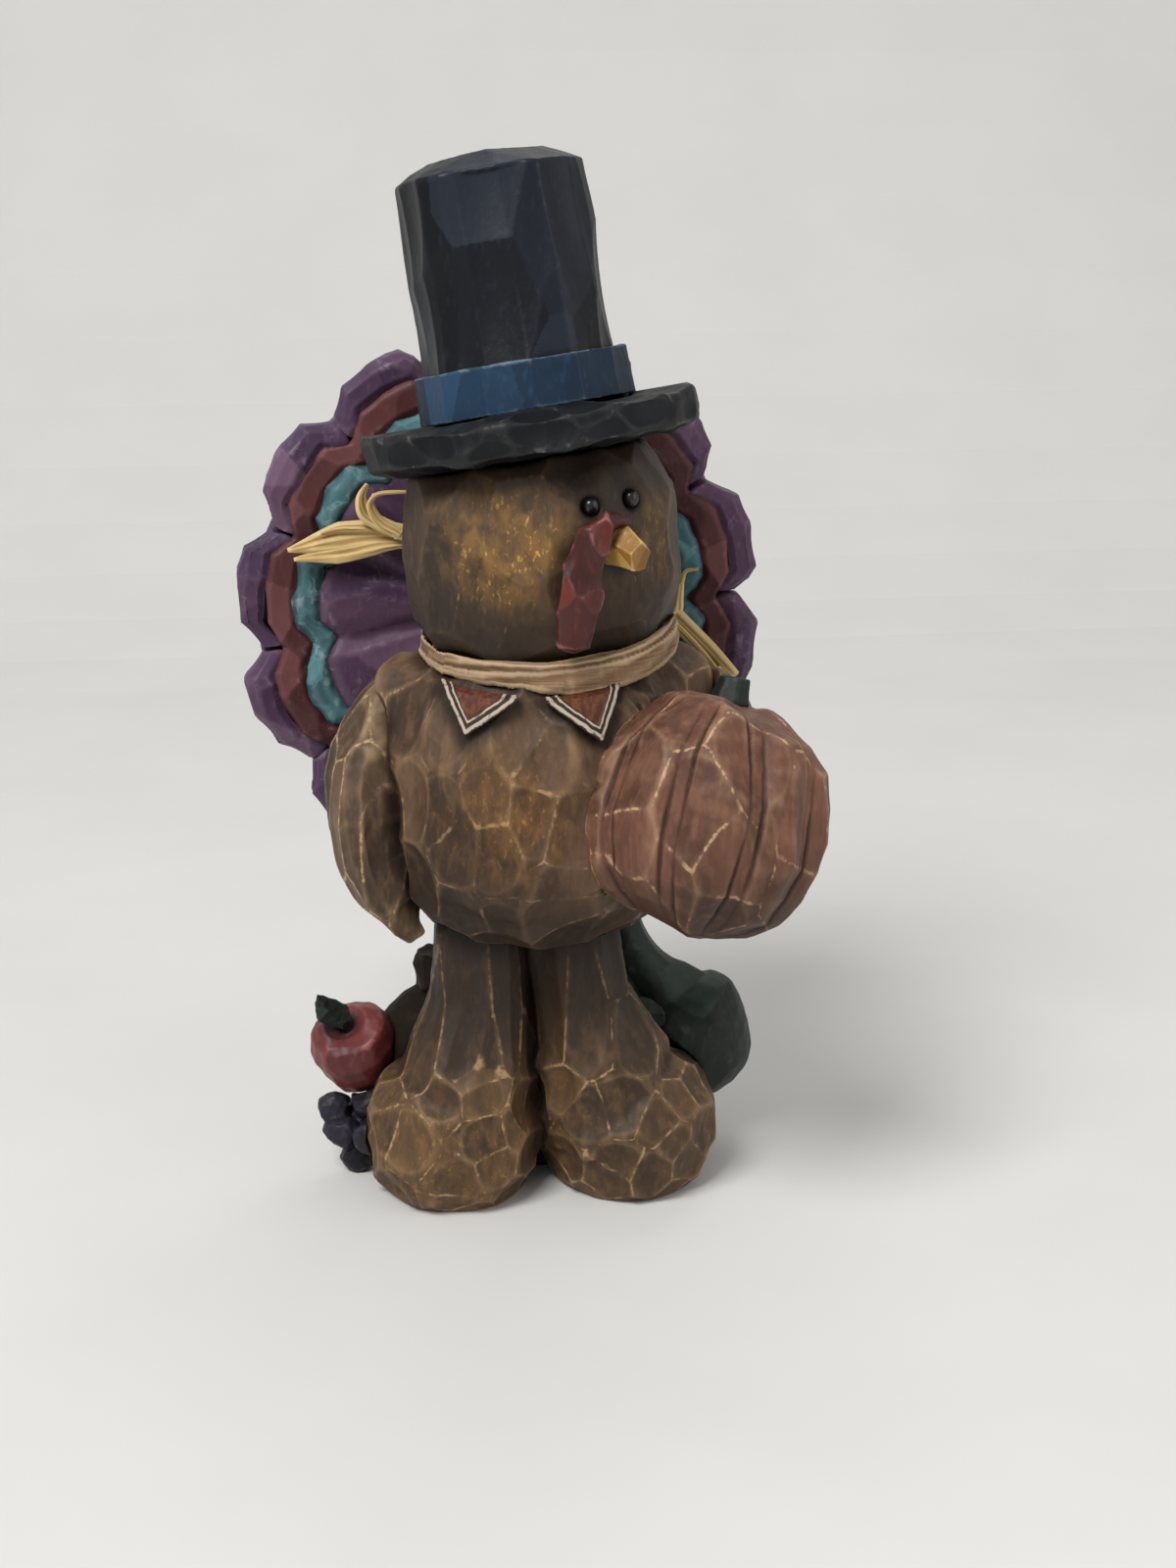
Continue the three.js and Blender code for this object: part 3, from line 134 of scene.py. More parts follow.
# %% Light
# The place, width and watts of each lamp: the strong one, the one on the right and the one behind.
LAMPS = (
    ((-0.5, -0.6, 1.05), 0.5, 12.5),
    ((0.9, -0.5, 0.5), 0.8, 2.2),
    ((0.3, 0.9, 0.9), 0.8, 4.0),
)
AIM = Vector((0, 0, 0.1))
WORLD_STRENGTH = 0.4

for place, width, watts in LAMPS:
    bpy.ops.object.light_add(type="AREA", location=place)
    light = bpy.context.object
    light.data.size = width
    light.data.energy = watts
    light.rotation_euler = (AIM - Vector(place)).to_track_quat("-Z", "Y").to_euler()
world = bpy.data.worlds.new("soft room")
world.use_nodes = True
backdrop = world.node_tree.nodes["Background"]
backdrop.inputs["Color"].default_value = (1, 1, 1, 1)
backdrop.inputs["Strength"].default_value = WORLD_STRENGTH
bpy.context.scene.world = world
print("Lamps:", len(LAMPS))

# %% [markdown]
# ## Mixing paint
# Every finish here is a recipe of nodes. Wiring nodes one by one hides the idea behind it, so
# a small class lets a recipe be written as sums: 1 - mask, or worn * streaks. Any other node
# comes from one method.

# %% Dabs of paint


class Dab:
    """One socket of a paint recipe. Arithmetic on dabs adds Math nodes."""

    def __init__(self, tree, socket):
        self.tree, self.socket = tree, socket

    def node(self, kind, settings=(), inputs=(), output=0):
        """Adds any node: first its settings, then the values or links of its sockets."""
        made = self.tree.nodes.new(kind)
        for key, value in dict(settings).items():
            setattr(made, key, value)
        for key, value in dict(inputs).items():
            if isinstance(value, Dab):
                self.tree.links.new(value.socket, made.inputs[key])
            else:
                made.inputs[key].default_value = value
        return Dab(self.tree, made.outputs[output])

    def math(self, operation, *terms):
        return self.node("ShaderNodeMath", {"operation": operation}, dict(enumerate(terms)))

    def __add__(self, other):
        return self.math("ADD", self, other)

    def __sub__(self, other):
        return self.math("SUBTRACT", self, other)

    def __rsub__(self, other):
        return self.math("SUBTRACT", other, self)

    def __mul__(self, other):
        return self.math("MULTIPLY", self, other)

    __radd__ = __add__
    __rmul__ = __mul__

    def step(self, low, high):
        """Rises smoothly from 0 at low to 1 at high."""
        inputs = {"Value": self, "From Min": low, "From Max": high}
        return self.node("ShaderNodeMapRange", {"interpolation_type": "SMOOTHSTEP"}, inputs)


def tint(written):
    """A colour written as on a paint chart, such as 6b4a2f, in the linear values of a socket."""
    parts = [int(written[i : i + 2], 16) / 255 for i in (0, 2, 4)]
    bright = [p / 12.92 if p <= 0.04045 else ((p + 0.055) / 1.055) ** 2.4 for p in parts]
    return (*bright, 1)


print("Written 6b4a2f is linear", [round(part, 3) for part in tint("6b4a2f")[:3]])

# %% [markdown]
# ## Patterns that a finish may read
# The paints share a few patterns: cloudy noise, numbers noted on the mesh, and how near or
# how high a place is. Copying their nodes into every material would work, but a small class
# that holds the material under way keeps each recipe to its few own lines.

# %% Recipes


class Recipe:
    """A material under way, with its coats so far and the patterns that a recipe may read."""

    def __init__(self, name, undercoat):
        self.material = bpy.data.materials.new(name)
        self.material.use_nodes = True
        self.tree = self.material.node_tree
        self.start = Dab(self.tree, None)
        self.shader = self.tree.nodes["Principled BSDF"]
        self.place = self.start.node("ShaderNodeTexCoord", output="Object")
        self.colour = tint(undercoat)

    def coat(self, mask, written):
        """Lays a colour over the coats so far, where the mask says."""
        inputs = {0: mask, 6: self.colour, 7: tint(written)}
        self.colour = self.start.node("ShaderNodeMix", {"data_type": "RGBA"}, inputs, 2)

    def attribute(self, name):
        """A number that the mesh carries at each of its points."""
        return self.start.node("ShaderNodeAttribute", {"attribute_name": name}, output="Fac")

    def noise(self, size, stretch=(1, 1, 1), detail=3, warp=0.0):
        """Cloudy noise whose blots are about this many millimetres across."""
        scaled = self.start.node("ShaderNodeMapping", {}, {"Vector": self.place, "Scale": stretch})
        inputs = {"Vector": scaled, "Scale": 1 / (size * MM), "Detail": detail, "Distortion": warp}
        return self.start.node("ShaderNodeTexNoise", {}, inputs)

    def near(self, middle, inner, outer):
        """1 within the inner distance of a place, and 0 past the outer one, in millimetres."""
        inputs = {0: self.place, 1: Vector(middle) * MM}
        apart = self.start.node("ShaderNodeVectorMath", {"operation": "DISTANCE"}, inputs, "Value")
        return 1 - apart.step(inner * MM, outer * MM)

    def above(self, low, high):
        """0 under the low height and 1 above the high one, in millimetres."""
        height = self.start.node("ShaderNodeSeparateXYZ", {}, {0: self.place}, "Z")
        return height.step(low * MM, high * MM)

    def finish(self, rough, relief, depth=0.15, fixed=()):
        """Puts the coats, roughness and fine relief, in millimetres, on the shader."""
        inputs = {"Height": relief, "Distance": depth * MM, "Strength": 1.0}
        bump = self.start.node("ShaderNodeBump", {}, inputs)
        for name, value in (("Base Color", self.colour), ("Roughness", rough), ("Normal", bump)):
            self.tree.links.new(value.socket, self.shader.inputs[name])
        for name, value in dict(fixed).items():
            self.shader.inputs[name].default_value = value
        return self.material


# %% [markdown]
# ## Floor finish
# The floor is pale paper. One flat colour would do, but a faint cloudiness in colour and
# roughness keeps it from looking like empty space.

# %% Floor finish


def floor_finish():
    """Pale paper with a very faint cloudiness."""
    recipe = Recipe("pale floor", "d9d8d5")
    cloud = recipe.noise(60).step(0.2, 0.8)
    recipe.coat(cloud, "dddcd9")
    return recipe.finish(cloud * 0.05 + 0.8, recipe.noise(2), depth=0.02)


floor.data.materials.append(floor_finish())
print("Floor finish:", floor.data.materials[0].name)

# %% [markdown]
# ## Skins
# Each big form seats exactly against its neighbours. A primitive would have to be cut to all
# those seats again, so a big form starts as a copy of its CAD piece. The copy is merged,
# remeshed into an even skin of small faces, softened and then carved.

# %% Skin helpers
MERGE = 0.01 * MM


def mend(piece, operator, **settings):
    """Runs one operator of edit mode on all of a piece."""
    pick(piece)
    bpy.ops.object.mode_set(mode="EDIT")
    bpy.ops.mesh.select_all(action="SELECT")
    operator(**settings)
    bpy.ops.object.mode_set(mode="OBJECT")


def clay(piece, grain, rounds):
    """Gives a piece an even skin of small faces and softens its edges."""
    shape(piece, "REMESH", mode="VOXEL", voxel_size=grain * MM, use_smooth_shade=True)
    shape(piece, "SMOOTH", factor=0.5, iterations=rounds)


def casting(node, name, grain, rounds):
    """A new skin for a CAD node: a merged copy of it, remeshed and softened."""
    piece = bpy.data.objects.new(name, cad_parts[node].data.copy())
    bpy.context.scene.collection.objects.link(piece)
    piece.data.materials.clear()
    mend(piece, bpy.ops.mesh.remove_doubles, threshold=MERGE)
    bpy.ops.mesh.customdata_custom_splitnormals_clear()
    clay(piece, grain, rounds)
    return piece


def skin_of(piece):
    """Where the points of a skin are and which way they face."""
    count = len(piece.data.vertices)
    at, out = np.empty(count * 3), np.empty(count * 3)
    piece.data.vertices.foreach_get("co", at)
    piece.data.vertex_normals.foreach_get("vector", out)
    return at.reshape(-1, 3), out.reshape(-1, 3)


def move_skin(piece, at):
    """Puts the points of a skin in new places."""
    piece.data.vertices.foreach_set("co", np.ascontiguousarray(at).ravel())
    piece.data.update()


def note(piece, name, values):
    """Keeps a number at each point of the mesh, for the paint to read."""
    layer = piece.data.attributes.get(name) or piece.data.attributes.new(name, "FLOAT", "POINT")
    layer.data.foreach_set("value", np.asarray(values, np.float32))


def ease(values, low, high):
    """The smooth step of the paint recipes, on numbers."""
    share = np.clip((values - low) / (high - low), 0, 1)
    return share * share * (3 - 2 * share)


print("CAD pieces to dress:", len(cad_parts))

# %% [markdown]
# ## Neighbours
# The CAD pieces have a hair of air between them. On the real figure there is none: the paint
# runs over the seam and the dark wash collects there. Joining the meshes would lose the
# pieces, so a skin is pressed into its neighbour, and notes how near its neighbours are. The
# paint darkens those places, partly as wash and partly as painted shade.

# %% Neighbour helpers
OVERLAP = 0.8 * MM


def tree_of(nodes):
    """One search tree over the faces of some CAD nodes."""
    corners, faces = [], []
    for node in nodes:
        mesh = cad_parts[node].data
        first = len(corners)
        corners += [corner.co.copy() for corner in mesh.vertices]
        faces += [[first + i for i in face.vertices] for face in mesh.polygons]
    return BVHTree.FromPolygons(corners, faces)


def nearest(at, nodes, reach):
    """For each point, how far it is to the nearest of some nodes and which way, up to a reach."""
    tree = tree_of(nodes)
    low = np.min([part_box(node)[0] for node in nodes], 0) - reach
    high = np.max([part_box(node)[1] for node in nodes], 0) + reach
    far, way = np.full(len(at), reach), np.zeros((len(at), 3))
    for i in np.flatnonzero(((at > low) & (at < high)).all(1)):
        place, _, _, distance = tree.find_nearest(at[i], reach)
        if distance:
            far[i] = distance
            way[i] = (np.array(place) - at[i]) / distance
    return far, way


def press(piece, nodes, reach=2.2, push=1.1, keep=None, over=OVERLAP):
    """Lets a skin run a little into its neighbours, so that no slit stays between them."""
    at, _ = skin_of(piece)
    far, way = nearest(at, nodes, reach * MM)
    share = 1 - ease(far, 0, reach * MM)
    if keep is not None:
        share = share * keep(at)
    shift = np.minimum(share * push * MM, far + over)
    move_skin(piece, at + way * shift[:, None])


print("Skins may run into a neighbour by mm:", OVERLAP / MM)

# %% [markdown]
# ## Tool marks
# A gouge takes shallow scoops out of a smooth block, and where two scoops meet a ridge stays.
# Cutting hundreds of balls out of the mesh would be slow and tear it. So each mark is a shallow
# bowl round a point of the skin, and the skin goes down to the lowest of the bowls. Each point
# also keeps how far it is from a ridge and a number for its mark: the paint uses both.

# %% Carving helpers
TRIES = 7000
FAR_OFF = 9.0
BOWL_REACH = 0.72
DEPTH_SPREAD = 0.35


def scatter(space, gap, draw):
    """Picks points of the skin that are at least a gap apart, in a repeatable order."""
    chosen = np.full((TRIES, 3), FAR_OFF)
    count = 0
    for spot in space[draw.permutation(len(space))[:TRIES]]:
        if ((chosen[:count] - spot) ** 2).sum(1).min(initial=FAR_OFF) > gap * gap:
            chosen[count] = spot
            count += 1
    return chosen[:count]


def carve(piece, gap, relief, space=None, keep=None, tilt=0.5, seed=1, lift=0.55):
    """Scoops marks a gap apart, as deep as the relief, both in millimetres."""
    at, out = skin_of(piece)
    where = at if space is None else space(at)
    draw = np.random.default_rng(seed)
    gap, relief = gap * MM, relief * MM
    middles = scatter(where, gap, draw)
    reach = BOWL_REACH * gap
    bowl = relief / reach**2
    far = (where**2).sum(1)[:, None] + (middles**2).sum(1) - 2 * where @ middles.T
    lean = draw.normal(0, tilt * bowl * reach, middles.shape)
    depth = draw.uniform(-DEPTH_SPREAD, DEPTH_SPREAD, len(middles)) * relief
    bowls = bowl * far + where @ lean.T - (middles * lean).sum(1) + depth
    nearest_two = np.argpartition(bowls, 1, axis=1)[:, :2]
    two = np.take_along_axis(bowls, nearest_two, 1)
    apart = np.linalg.norm(middles[nearest_two[:, 0]] - middles[nearest_two[:, 1]], axis=1)
    edge = np.abs(two[:, 1] - two[:, 0]) / (2 * bowl * apart)
    mark = np.where(two[:, 0] <= two[:, 1], nearest_two[:, 0], nearest_two[:, 1])
    height = np.minimum(two.min(1), relief) - lift * relief
    if keep is not None:
        height = height * keep(at, out)
    move_skin(piece, at + out * height[:, None])
    note(piece, "edge", edge / MM)
    note(piece, "tone", draw.uniform(0, 1, len(middles))[mark])
    return len(middles)


print("Spots tried for marks on a piece, at most:", TRIES)

# %% [markdown]
# ## Wear and wash
# A dry brush only touches what stands proud, and a thin wash runs into what lies low. To know
# which is which, a copy of the skin is blurred: a point that lies outside the blurred skin is
# on a ridge, and one inside it is in a hollow.

# %% Wear helpers
BLUR = 10


def wear(piece, rounds=BLUR):
    """Notes how proud each point stands of the blurred skin, in millimetres."""
    at, out = skin_of(piece)
    ends = np.empty(len(piece.data.edges) * 2, np.int32)
    piece.data.edges.foreach_get("vertices", ends)
    one, two = ends.reshape(-1, 2).T
    own, other = np.concatenate([one, two]), np.concatenate([two, one])
    count = np.maximum(np.bincount(own, minlength=len(at)), 1)
    blurred = at
    for _ in range(rounds):
        sums = [np.bincount(own, blurred[other, axis], len(at)) for axis in range(3)]
        blurred = np.column_stack(sums) / count[:, None]
    note(piece, "proud", ((at - blurred) * out).sum(1) / MM)


def dress(piece, node, paint, beside=(), reach=4.0, rounds=BLUR):
    """Notes wear and near neighbours, then makes the piece stand for its CAD node."""
    wear(piece, rounds)
    at, _ = skin_of(piece)
    far = nearest(at, beside, reach * MM)[0] if beside else np.full(len(at), reach * MM)
    # How near the neighbours are, for paint that darkens there: partly wash, partly painted shade.
    note(piece, "nook", 1 - far / (reach * MM))
    piece.data.materials.clear()
    piece.data.materials.append(paint)
    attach(piece, "root")
    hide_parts(node)
    print(piece.name, len(piece.data.polygons), "faces")


# %% [markdown]
# ## The carved brown paint
# Body, head, wings, legs and pumpkin share one way of painting. One flat brown would be
# quicker, but on the figure each scoop took the wash differently, so the base changes from
# mark to mark. Stains and brush streaks come next, then a glaze of gold in a few places. Last,
# a nearly dry brush drags tan over the ridges, broken up by noise where it doesn't catch. A
# soft tan glow round the ridges is partly that brush and partly a painted highlight.

# %% Carved paint
# Dark wash in hollows, also used as painted shade where pieces meet.
WASH_AND_SEAM_SHADE = "1b1410"
SHADE_AND_WASH_BROWN = "2a201b"
BLUSH = "6a4c3c"
GOLD_LEAF = "d0a557"
MATT = {"Specular IOR Level": 0.25}


def broken(recipe, worn, size=6):
    """Where a dry brush catches: more of the surface the more it is worn."""
    return recipe.noise(size, detail=4, warp=0.8).step(0.62 - worn * 0.35, 0.72 - worn * 0.3)


def carved(
    name, base, dark, light, line, gild=None, shade_and_wash=None, gold="8a6532",
    worn=0.5, gilt=0.6, speck=0.0, blush=None,
):
    """The paint of a carved piece. Gild gives a mask for golden places, and the other mask one for
    places darkened as painted shade.
    """
    recipe = Recipe(name, dark)
    tone, edge, proud, nook = map(recipe.attribute, ("tone", "edge", "proud", "nook"))
    stain = recipe.noise(12, (1, 1, 0.55), detail=5, warp=0.7)
    fibre = recipe.noise(1.3, (1, 1, 0.22), detail=5)
    mottle = recipe.noise(2.4, (1, 1, 0.6), detail=6, warp=0.3)
    recipe.coat(tone * 0.8 + 0.2, base)
    if blush:
        recipe.coat(blush(recipe) * 0.75, BLUSH)
    recipe.coat((1 - tone).step(0.74, 0.92) * 0.45, dark)
    recipe.coat(stain.step(0.5, 0.68) * 0.6, dark)
    recipe.coat((1 - stain).step(0.52, 0.68) * 0.4, light)
    recipe.coat(mottle.step(0.5, 0.68) * 0.3, light)
    recipe.coat(fibre.step(0.52, 0.7) * 0.22, light)
    recipe.coat((1 - fibre).step(0.52, 0.7) * 0.3, dark)
    if gild:
        golden = gild(recipe)
        glaze = (mottle * 0.6 + stain * 0.4).step(0.36, 0.6) * (fibre * 0.7 + 0.45)
        recipe.coat(golden * glaze * gilt, gold)
        leaf = recipe.noise(0.9, (1, 1, 0.6), detail=6, warp=0.6).step(0.58, 0.68)
        recipe.coat(golden * leaf * glaze * speck, GOLD_LEAF)
    # Painted shade, on the shins partly darker paint, darkens the brown and calms the ridge tan
    # there.
    calm = 1.0
    if shade_and_wash:
        shade = shade_and_wash(recipe)
        calm = 1 - shade * 0.62
        recipe.coat(shade * 0.72, SHADE_AND_WASH_BROWN)
    catch = broken(recipe, worn)
    # A soft tan glow round the ridges: partly dry brush, partly a painted highlight.
    halo = proud.step(0.0, 0.3) * (fibre * 0.7 + 0.3) * calm
    recipe.coat(halo * 0.4, line)
    thin = 1 - (edge + recipe.noise(1.5, detail=5) * 0.95 - 0.45).step(0.04, 0.28)
    ridge = thin * catch * proud.step(-0.03, 0.06) * calm
    recipe.coat(ridge * 0.75, line)
    recipe.coat((0 - proud).step(0.02, 0.25) * 0.62, WASH_AND_SEAM_SHADE)
    # Dark where neighbours are near: partly wash, partly painted shade between the pieces.
    recipe.coat(nook.step(0.1, 0.95) * 0.85, WASH_AND_SEAM_SHADE)
    relief = fibre * 0.5 + mottle * 0.7
    gloss = stain * 0.12 + 0.48 - halo * 0.06
    return recipe.finish(gloss, relief, depth=0.2, fixed=MATT)


# %% [markdown]
# ## Where the gold and the shade lie
# Gold was brushed on the belly, cheeks and feet, and the browns are darkened low down and under
# the brim as painted shade, on the shins partly as darker paint. A painted picture could hold
# that, but a few soft balls and height ramps do too, and each can be moved by changing one number.

# %% Golden and dark places


def belly_gold(recipe):
    """Gold on the middle of the belly."""
    return recipe.near((-9, -28, 86), 5, 22) * 0.9


def belly_painted_shade(recipe):
    """Painted shade under the belly, and in one place above the right leg."""
    return 1 - recipe.above(64, 84) + recipe.near((-17, -23, 82), 2, 14) * 0.7


def belly_blush(recipe):
    """The pumpkin's brown runs over on to the belly beside it."""
    return recipe.near((24, -22, 84), 12, 30)


def foot_gold_less_in_shade(recipe):
    """Gold on the feet, held back on the left one as painted shade."""
    return (1 - recipe.above(17, 36)) * (1 - recipe.near((20, -20, 12), 8, 26) * 0.6)


def shin_shade_and_wash(recipe):
    """Shins partly darker paint, partly painted shade; a little painted shade on the left foot."""
    return recipe.above(26, 44) + recipe.near((20, -20, 12), 8, 26) * 0.25


def cheek_gold(recipe):
    """Gold on both cheeks, more on the right one."""
    return recipe.near((-6, -25, 139), 7, 19) + recipe.near((27, -13, 139), 3, 13) * 0.4


def head_painted_shade(recipe):
    """Painted shade under the brim and above the tie."""
    return recipe.above(143, 154) + (1 - recipe.above(120, 132))


BROWN = carved(
    "carved brown", "614a38", "33271f", "84684e", "b08f66", belly_gold, belly_painted_shade,
    gold="80592a", worn=0.42, gilt=0.75, speck=0.4, blush=belly_blush,
)
LEG = carved(
    "leg brown", "59442f", "30261f", "765b40", "b8966c", foot_gold_less_in_shade, shin_shade_and_wash,
    gold="86623c", worn=0.62, gilt=0.4, speck=0.25,
)
HEAD = carved(
    "head brown", "503f31", "2e241d", "6b5641", "96784a", cheek_gold, head_painted_shade,
    worn=0.2, gilt=0.8, speck=0.8,
)
WING = carved("wing brown", "614c39", "3a2d24", "80664c", "c6a67a", worn=0.75)
print("Carved paints:", len([m for m in bpy.data.materials if "brown" in m.name]))

# %% [markdown]
# ## Body
# The body is a barrel with square scoops. The shoulders swell towards the wings, so that the
# wings grow out of them without a step. A sculpting brush would do that by hand. Here the
# skin near a place is pushed one way, and less and less further off.

# %% Body
BODY_GRAIN = 0.45


def upright(share):
    """A space in which marks come out longer up and down."""
    return lambda at: at * (1, 1, share)


# Each swelling: its middle, how far it is pushed out, and how far that spreads, in millimetres.
SHOULDERS = (((-25, 4, 104), (-1.5, 0, 4.0), 10), ((33, 5, 105), (6.5, 0, 4.5), 11))
WING_ROOT = (((-27, 2, 108), (-2.0, -0.8, 1.6), 6),)
BODY_BESIDE = ["wing_right", "wing_left", "collar_right", "collar_left", "neck_tie", "head"]


def swell(piece, places):
    """Pushes a skin out round some places."""
    at, _ = skin_of(piece)
    for middle, push, spread in places:
        apart = np.linalg.norm(at / MM - middle, axis=1) / spread
        at = at + np.outer(np.exp(-(apart**2)), push) * MM
    move_skin(piece, at)


body = casting("body", "carved_body", BODY_GRAIN, 34)
swell(body, SHOULDERS + WING_ROOT)
print("Body marks:", carve(body, 7.8, 1.5, upright(0.72), seed=4, tilt=0.6))
press(body, ["pumpkin"], reach=8.5, push=4.0)
dress(body, "body", BROWN, BODY_BESIDE, 4.2)

# %% [markdown]
# ## Legs
# The scoops are round cells on the feet and become long upright cuts above the ankle. Two
# sets of marks would need a seam between them, so one set is used, and the space in which it
# is spread is squeezed upwards there. The soles stay flat.

# %% Legs
ANKLE = 31 * MM
SOLE = 0.6 * MM
SHIN_SQUEEZE = 0.2


def leg_space(at):
    """Round cells on the foot, long cuts on the shin."""
    low = np.minimum(at[:, 2], ANKLE)
    return np.column_stack([at[:, 0], at[:, 1], low + (at[:, 2] - low) * SHIN_SQUEEZE])


def off_the_ground(at, out):
    """Keeps the sole flat."""
    return np.clip((at[:, 2] - SOLE) / (4 * SOLE), 0, 1)


for node, other, seed in (("leg_right", "leg_left", 11), ("leg_left", "leg_right", 12)):
    leg = casting(node, f"carved_{node}", BODY_GRAIN, 14)
    carve(leg, 7.2, 1.25, leg_space, off_the_ground, seed=seed, tilt=0.6)
    press(leg, [other], reach=2.6, push=1.5)
    press(leg, ["body"])
    beside = [other, "body", "harvest_pile", "gourd", "squash"]
    dress(leg, node, LEG, beside, 7.0)

# %% [markdown]
# ## Wings
# A wing is a long leaf with narrow upright cuts. Joining it to the body with a boolean would
# leave a hard seam, so its skin is drawn into the body where the two meet. Its tip hangs free.

# %% Wings
TIP_FREE = 60 * MM
WING_OVER = 2.2 * MM
WING_GRAIN = 0.42


def above_the_tip(at):
    """Leaves the hanging tip of a wing free of the body."""
    return ease(at[:, 2], TIP_FREE, TIP_FREE + 5 * MM)


for node, seed in (("wing_right", 21), ("wing_left", 22)):
    wing = casting(node, f"carved_{node}", WING_GRAIN, 10)
    carve(wing, 5.4, 0.95, upright(0.24), seed=seed)
    press(wing, ["body"], 5.5, 4.8, above_the_tip, WING_OVER)
    if node == "wing_right":
        swell(wing, SHOULDERS)
    dress(wing, node, WING, ["body", "pumpkin"], 3.5)

# %% [markdown]
# ## Head
# The head is carved more softly than the body, and its wood grain shows as upright streaks.
# The same gouge would bite into the seats of the eyes, so the marks fade out round the brow.

# %% Head
BROW = np.array((14.5, -20, 143)) * MM


def round_the_face(at, out):
    """Keeps the skin smooth where the eyes are set in."""
    return ease(np.linalg.norm(at - BROW, axis=1), 6 * MM, 15 * MM)


HEAD_BESIDE = ["hat_brim", "snood", "beak", "neck_tie", "eye_right", "eye_left"]
head = casting("head", "carved_head", BODY_GRAIN, 34)
carve(head, 10.0, 1.1, upright(0.8), round_the_face, seed=31, tilt=0.6)
dress(head, "head", HEAD, HEAD_BESIDE, 3.0)

# %% [markdown]
# ## Eyes
# Two glossy black beads are set into the face. A bead is simpler to make afresh than to soften
# from its CAD solid: a ball is added at its seat, flattened a little in edit mode and sunk in.

# %% Beads for eyes
EYE_SUNK = 0.9 * MM
EYE_FLAT = (0.84, 0.8, 0.96)


def bead_paint():
    """Black glass paint with a thin coat of varnish."""
    recipe = Recipe("bead black", "0b0a0b")
    cloud = recipe.noise(1.5, detail=3)
    recipe.coat(cloud.step(0.35, 0.7), "1a1616")
    return recipe.finish(cloud * 0.1 + 0.25, cloud, depth=0.02, fixed={"Coat Weight": 0.25})


BEAD = bead_paint()
for node in ("eye_right", "eye_left"):
    low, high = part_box(node)
    put_down()
    bpy.ops.mesh.primitive_uv_sphere_add(
        segments=32, ring_count=20, radius=(high - low).x / 2, location=(low + high) / 2
    )
    bead = bpy.context.object
    bead.name = f"bead_{node}"
    bpy.ops.object.transform_apply(location=True)
    bpy.ops.object.mode_set(mode="EDIT")
    bpy.ops.transform.resize(value=EYE_FLAT)
    bpy.ops.transform.translate(value=(0, EYE_SUNK, 0))
    bpy.ops.object.mode_set(mode="OBJECT")
    bpy.ops.object.shade_smooth()
    dress(bead, node, BEAD)

# %% [markdown]
# ## Paint on big cuts
# Snood, beak, hat, tail and fruit have larger, cleaner cuts and a fuller coat of paint than
# the brown pieces. The brown paint with other numbers would still show too much wood grain, so
# these share a second way: each cut has its own tone, and only rims and hollows are touched.

# %% Faceted paint
SATIN = {"Specular IOR Level": 0.4}
SLEEK = {"Specular IOR Level": 0.26}


def painted(
    name, base, dark, light, rim, worn=0.4, rough=0.5, size=8,
    scratch=0.0, fixed=MATT, seam=0.8,
):
    """Paint on big cuts: each cut has its own tone, its rims are worn and its hollows dark."""
    recipe = Recipe(name, dark)
    tone, proud, nook = map(recipe.attribute, ("tone", "proud", "nook"))
    cloud = recipe.noise(size, detail=5, warp=0.5)
    brush = recipe.noise(1.2, (1, 1, 0.4), detail=5)
    recipe.coat(tone * 0.8 + 0.12, base)
    recipe.coat(cloud.step(0.5, 0.7) * 0.5, dark)
    recipe.coat(tone.step(0.72, 1.0) * 0.5, light)
    recipe.coat(brush.step(0.54, 0.72) * 0.25, light)
    if scratch:
        track = recipe.noise(7, (1, 0.3, 1), detail=2, warp=1.2) - 0.5
        hair = 1 - track.math("ABSOLUTE", track).step(0.004, 0.014)
        recipe.coat(hair * broken(recipe, 0.35) * scratch, rim)
    catch = broken(recipe, worn, 4)
    recipe.coat(proud.step(0.03, 0.2) * (catch * 0.7 + 0.15) * 0.55, rim)
    recipe.coat((0 - proud).step(0.03, 0.22) * 0.5, WASH_AND_SEAM_SHADE)
    # Dark where neighbours are near: partly wash, partly painted shade between the pieces.
    recipe.coat(nook.step(0.05, 0.9) * seam, WASH_AND_SEAM_SHADE)
    relief = brush * 0.5 + recipe.noise(2.2, detail=5) * 0.5
    return recipe.finish(cloud * 0.14 + rough, relief, depth=0.14, fixed=fixed)


print("Sheens of the paints:", MATT, SATIN, SLEEK)

# %% [markdown]
# ## Snood
# The snood is one thick strip with long flats that springs from the root of the beak and hangs
# down beside it. A bent tube would be round. So a ball is drawn out along a route, as wide as
# measured at each place and flatter than wide, and the flats are then carved.

# %% Snood
SNOOD = painted("snood red", "5e221b", "341311", "86392f", "b3787a", 0.35, 0.32, 5, fixed=SATIN)
SNOOD_ROUTE = (
    (18.2, -22.6, 142.4), (14.5, -23.6, 143.2), (10.6, -25, 140.4), (8.9, -25.6, 136.3),
    (8, -25.8, 131.7), (7.6, -25.8, 127.6), (7.3, -25.5, 123.2), (6.6, -24.8, 118.6),
)
SNOOD_WIDTHS = (2.4, 4.6, 6.8, 7.6, 8.8, 8.8, 7.8, 5.6)
SNOOD_THICK = 6.4
SNOOD_BLUNT = 8

# The snood and the raffia both follow a route, so the two helpers for it stand here.
FORWARD = np.array((0.0, -1.0, 0.0))
AHEAD = 0.02


